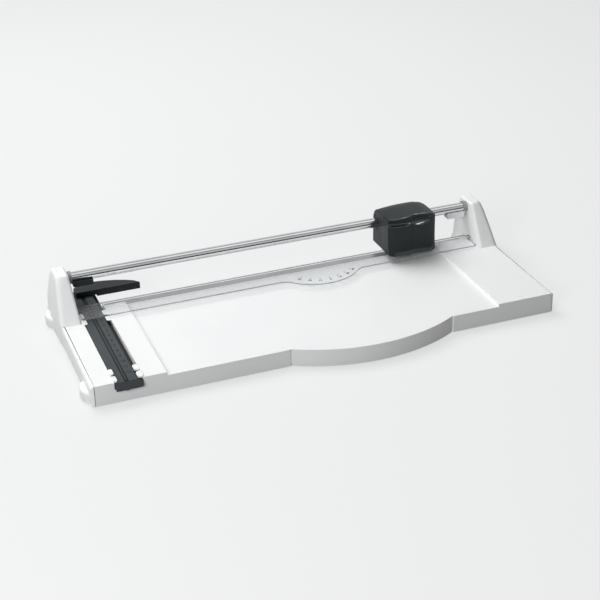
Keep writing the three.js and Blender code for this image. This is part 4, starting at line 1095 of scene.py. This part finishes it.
# %% Lamps
def panel_lamp(name, place, target, size, power, height=None, only_glints=False):
    """A flat lamp at a place in metres. One for glints alone lights no diffuse surface."""
    lamp_data = bpy.data.lights.new(name, "AREA")
    lamp_data.shape = "RECTANGLE"
    lamp_data.size = size
    lamp_data.size_y = height or size
    lamp_data.energy = power
    lamp = bpy.data.objects.new(name, lamp_data)
    bpy.context.scene.collection.objects.link(lamp)
    lamp.location = place
    lamp.rotation_euler = (Vector(target) - Vector(place)).to_track_quat("-Z", "Y").to_euler()
    lamp.visible_glossy = only_glints
    lamp.visible_diffuse = not only_glints
    return lamp


panel_lamp("rear_lamp", (-0.31, 0.8, 1.46), (0, 0, 0), size=1.3, power=26.5)
panel_lamp("front_lamp", (-0.95, -0.95, 0.65), (0, 0, 0), size=0.5, power=10)
panel_lamp("left_panel", (-1.7, 0, 0.6), (0, 0, 0.03), size=0.9, power=1.5)
edge_lamp = panel_lamp(
    "edge_lamp", (0.58, -0.5, 1.6), (0.13, 0.06, 0.05), size=0.8, power=14, height=0.05,
    only_glints=True)
lip_pieces = bpy.data.collections.new("lip_pieces")
for name in ("head_front_shell_finished", "head_cap_finished"):
    lip_pieces.objects.link(bpy.data.objects[name])
edge_lamp.light_linking.receiver_collection = lip_pieces

# %% [markdown]
# The world
#
# The rail is a mirror, and its lines are the studio: a white strip overhead, a grey one before and
# behind it, and darkness at the height of the camera. A ramp on the angle round the rail's own
# direction gives them to glossy rays only. The camera sees white, and the plastics get a weak,
# even light from the world.

# %% World
SKY_LIGHT = 0.12
# Angle round the rail in degrees, from the front over the top to the rear, and its grey
STUDIO_SHARES = [
    (-8, 0.05), (9, 0.05), (22, 0.5), (40, 0.62), (52, 0.3), (66, 0.3), (78, 1.0), (98, 1.0),
    (112, 0.4), (128, 0.42), (142, 0.75), (176, 0.7),
]
world = bpy.data.worlds.new("studio")
bpy.context.scene.world = world
world.use_nodes = True
sky = world.node_tree
background = sky.nodes["Background"]
coords = add_node(sky, "ShaderNodeTexCoord")
axes = add_node(sky, "ShaderNodeSeparateXYZ")
front = add_node(sky, "ShaderNodeMath", operation="MULTIPLY")
front.inputs[1].default_value = -1.0
angle = add_node(sky, "ShaderNodeMath", operation="ARCTAN2")
share = add_node(sky, "ShaderNodeMapRange")
share.inputs["From Min"].default_value = -math.pi
share.inputs["From Max"].default_value = math.pi
studio_grey = add_node(sky, "ShaderNodeValToRGB")
while len(studio_grey.color_ramp.elements) < len(STUDIO_SHARES):
    studio_grey.color_ramp.elements.new(0.5)
for stop, (degrees, grey) in zip(studio_grey.color_ramp.elements, STUDIO_SHARES):
    stop.position = 0.5 + degrees / 360
    stop.color = (grey, grey, grey, 1)
sky.links.new(coords.outputs["Generated"], axes.inputs["Vector"])
sky.links.new(axes.outputs["Y"], front.inputs[0])
sky.links.new(axes.outputs["Z"], angle.inputs[0])
sky.links.new(front.outputs["Value"], angle.inputs[1])
sky.links.new(angle.outputs["Value"], share.inputs["Value"])
sky.links.new(share.outputs["Result"], studio_grey.inputs["Fac"])

background.inputs["Color"].default_value = (SKY_LIGHT, SKY_LIGHT, SKY_LIGHT, 1)
studio_light = add_node(sky, "ShaderNodeBackground")
sky.links.new(studio_grey.outputs["Color"], studio_light.inputs["Color"])
seen_white = add_node(sky, "ShaderNodeBackground")
seen_white.inputs["Color"].default_value = (1, 1, 1, 1)
sky_rays = add_node(sky, "ShaderNodeLightPath")
by_gloss = add_node(sky, "ShaderNodeMixShader")
by_camera = add_node(sky, "ShaderNodeMixShader")
sky.links.new(sky_rays.outputs["Is Glossy Ray"], by_gloss.inputs["Fac"])
sky.links.new(background.outputs["Background"], by_gloss.inputs[1])
sky.links.new(studio_light.outputs["Background"], by_gloss.inputs[2])
sky.links.new(sky_rays.outputs["Is Camera Ray"], by_camera.inputs["Fac"])
sky.links.new(by_gloss.outputs["Shader"], by_camera.inputs[1])
sky.links.new(seen_white.outputs["Background"], by_camera.inputs[2])
sky.links.new(by_camera.outputs["Shader"], sky.nodes["World Output"].inputs["Surface"])
bpy.context.scene.view_settings.view_transform = "Standard"
print("World light for plastics:", SKY_LIGHT)
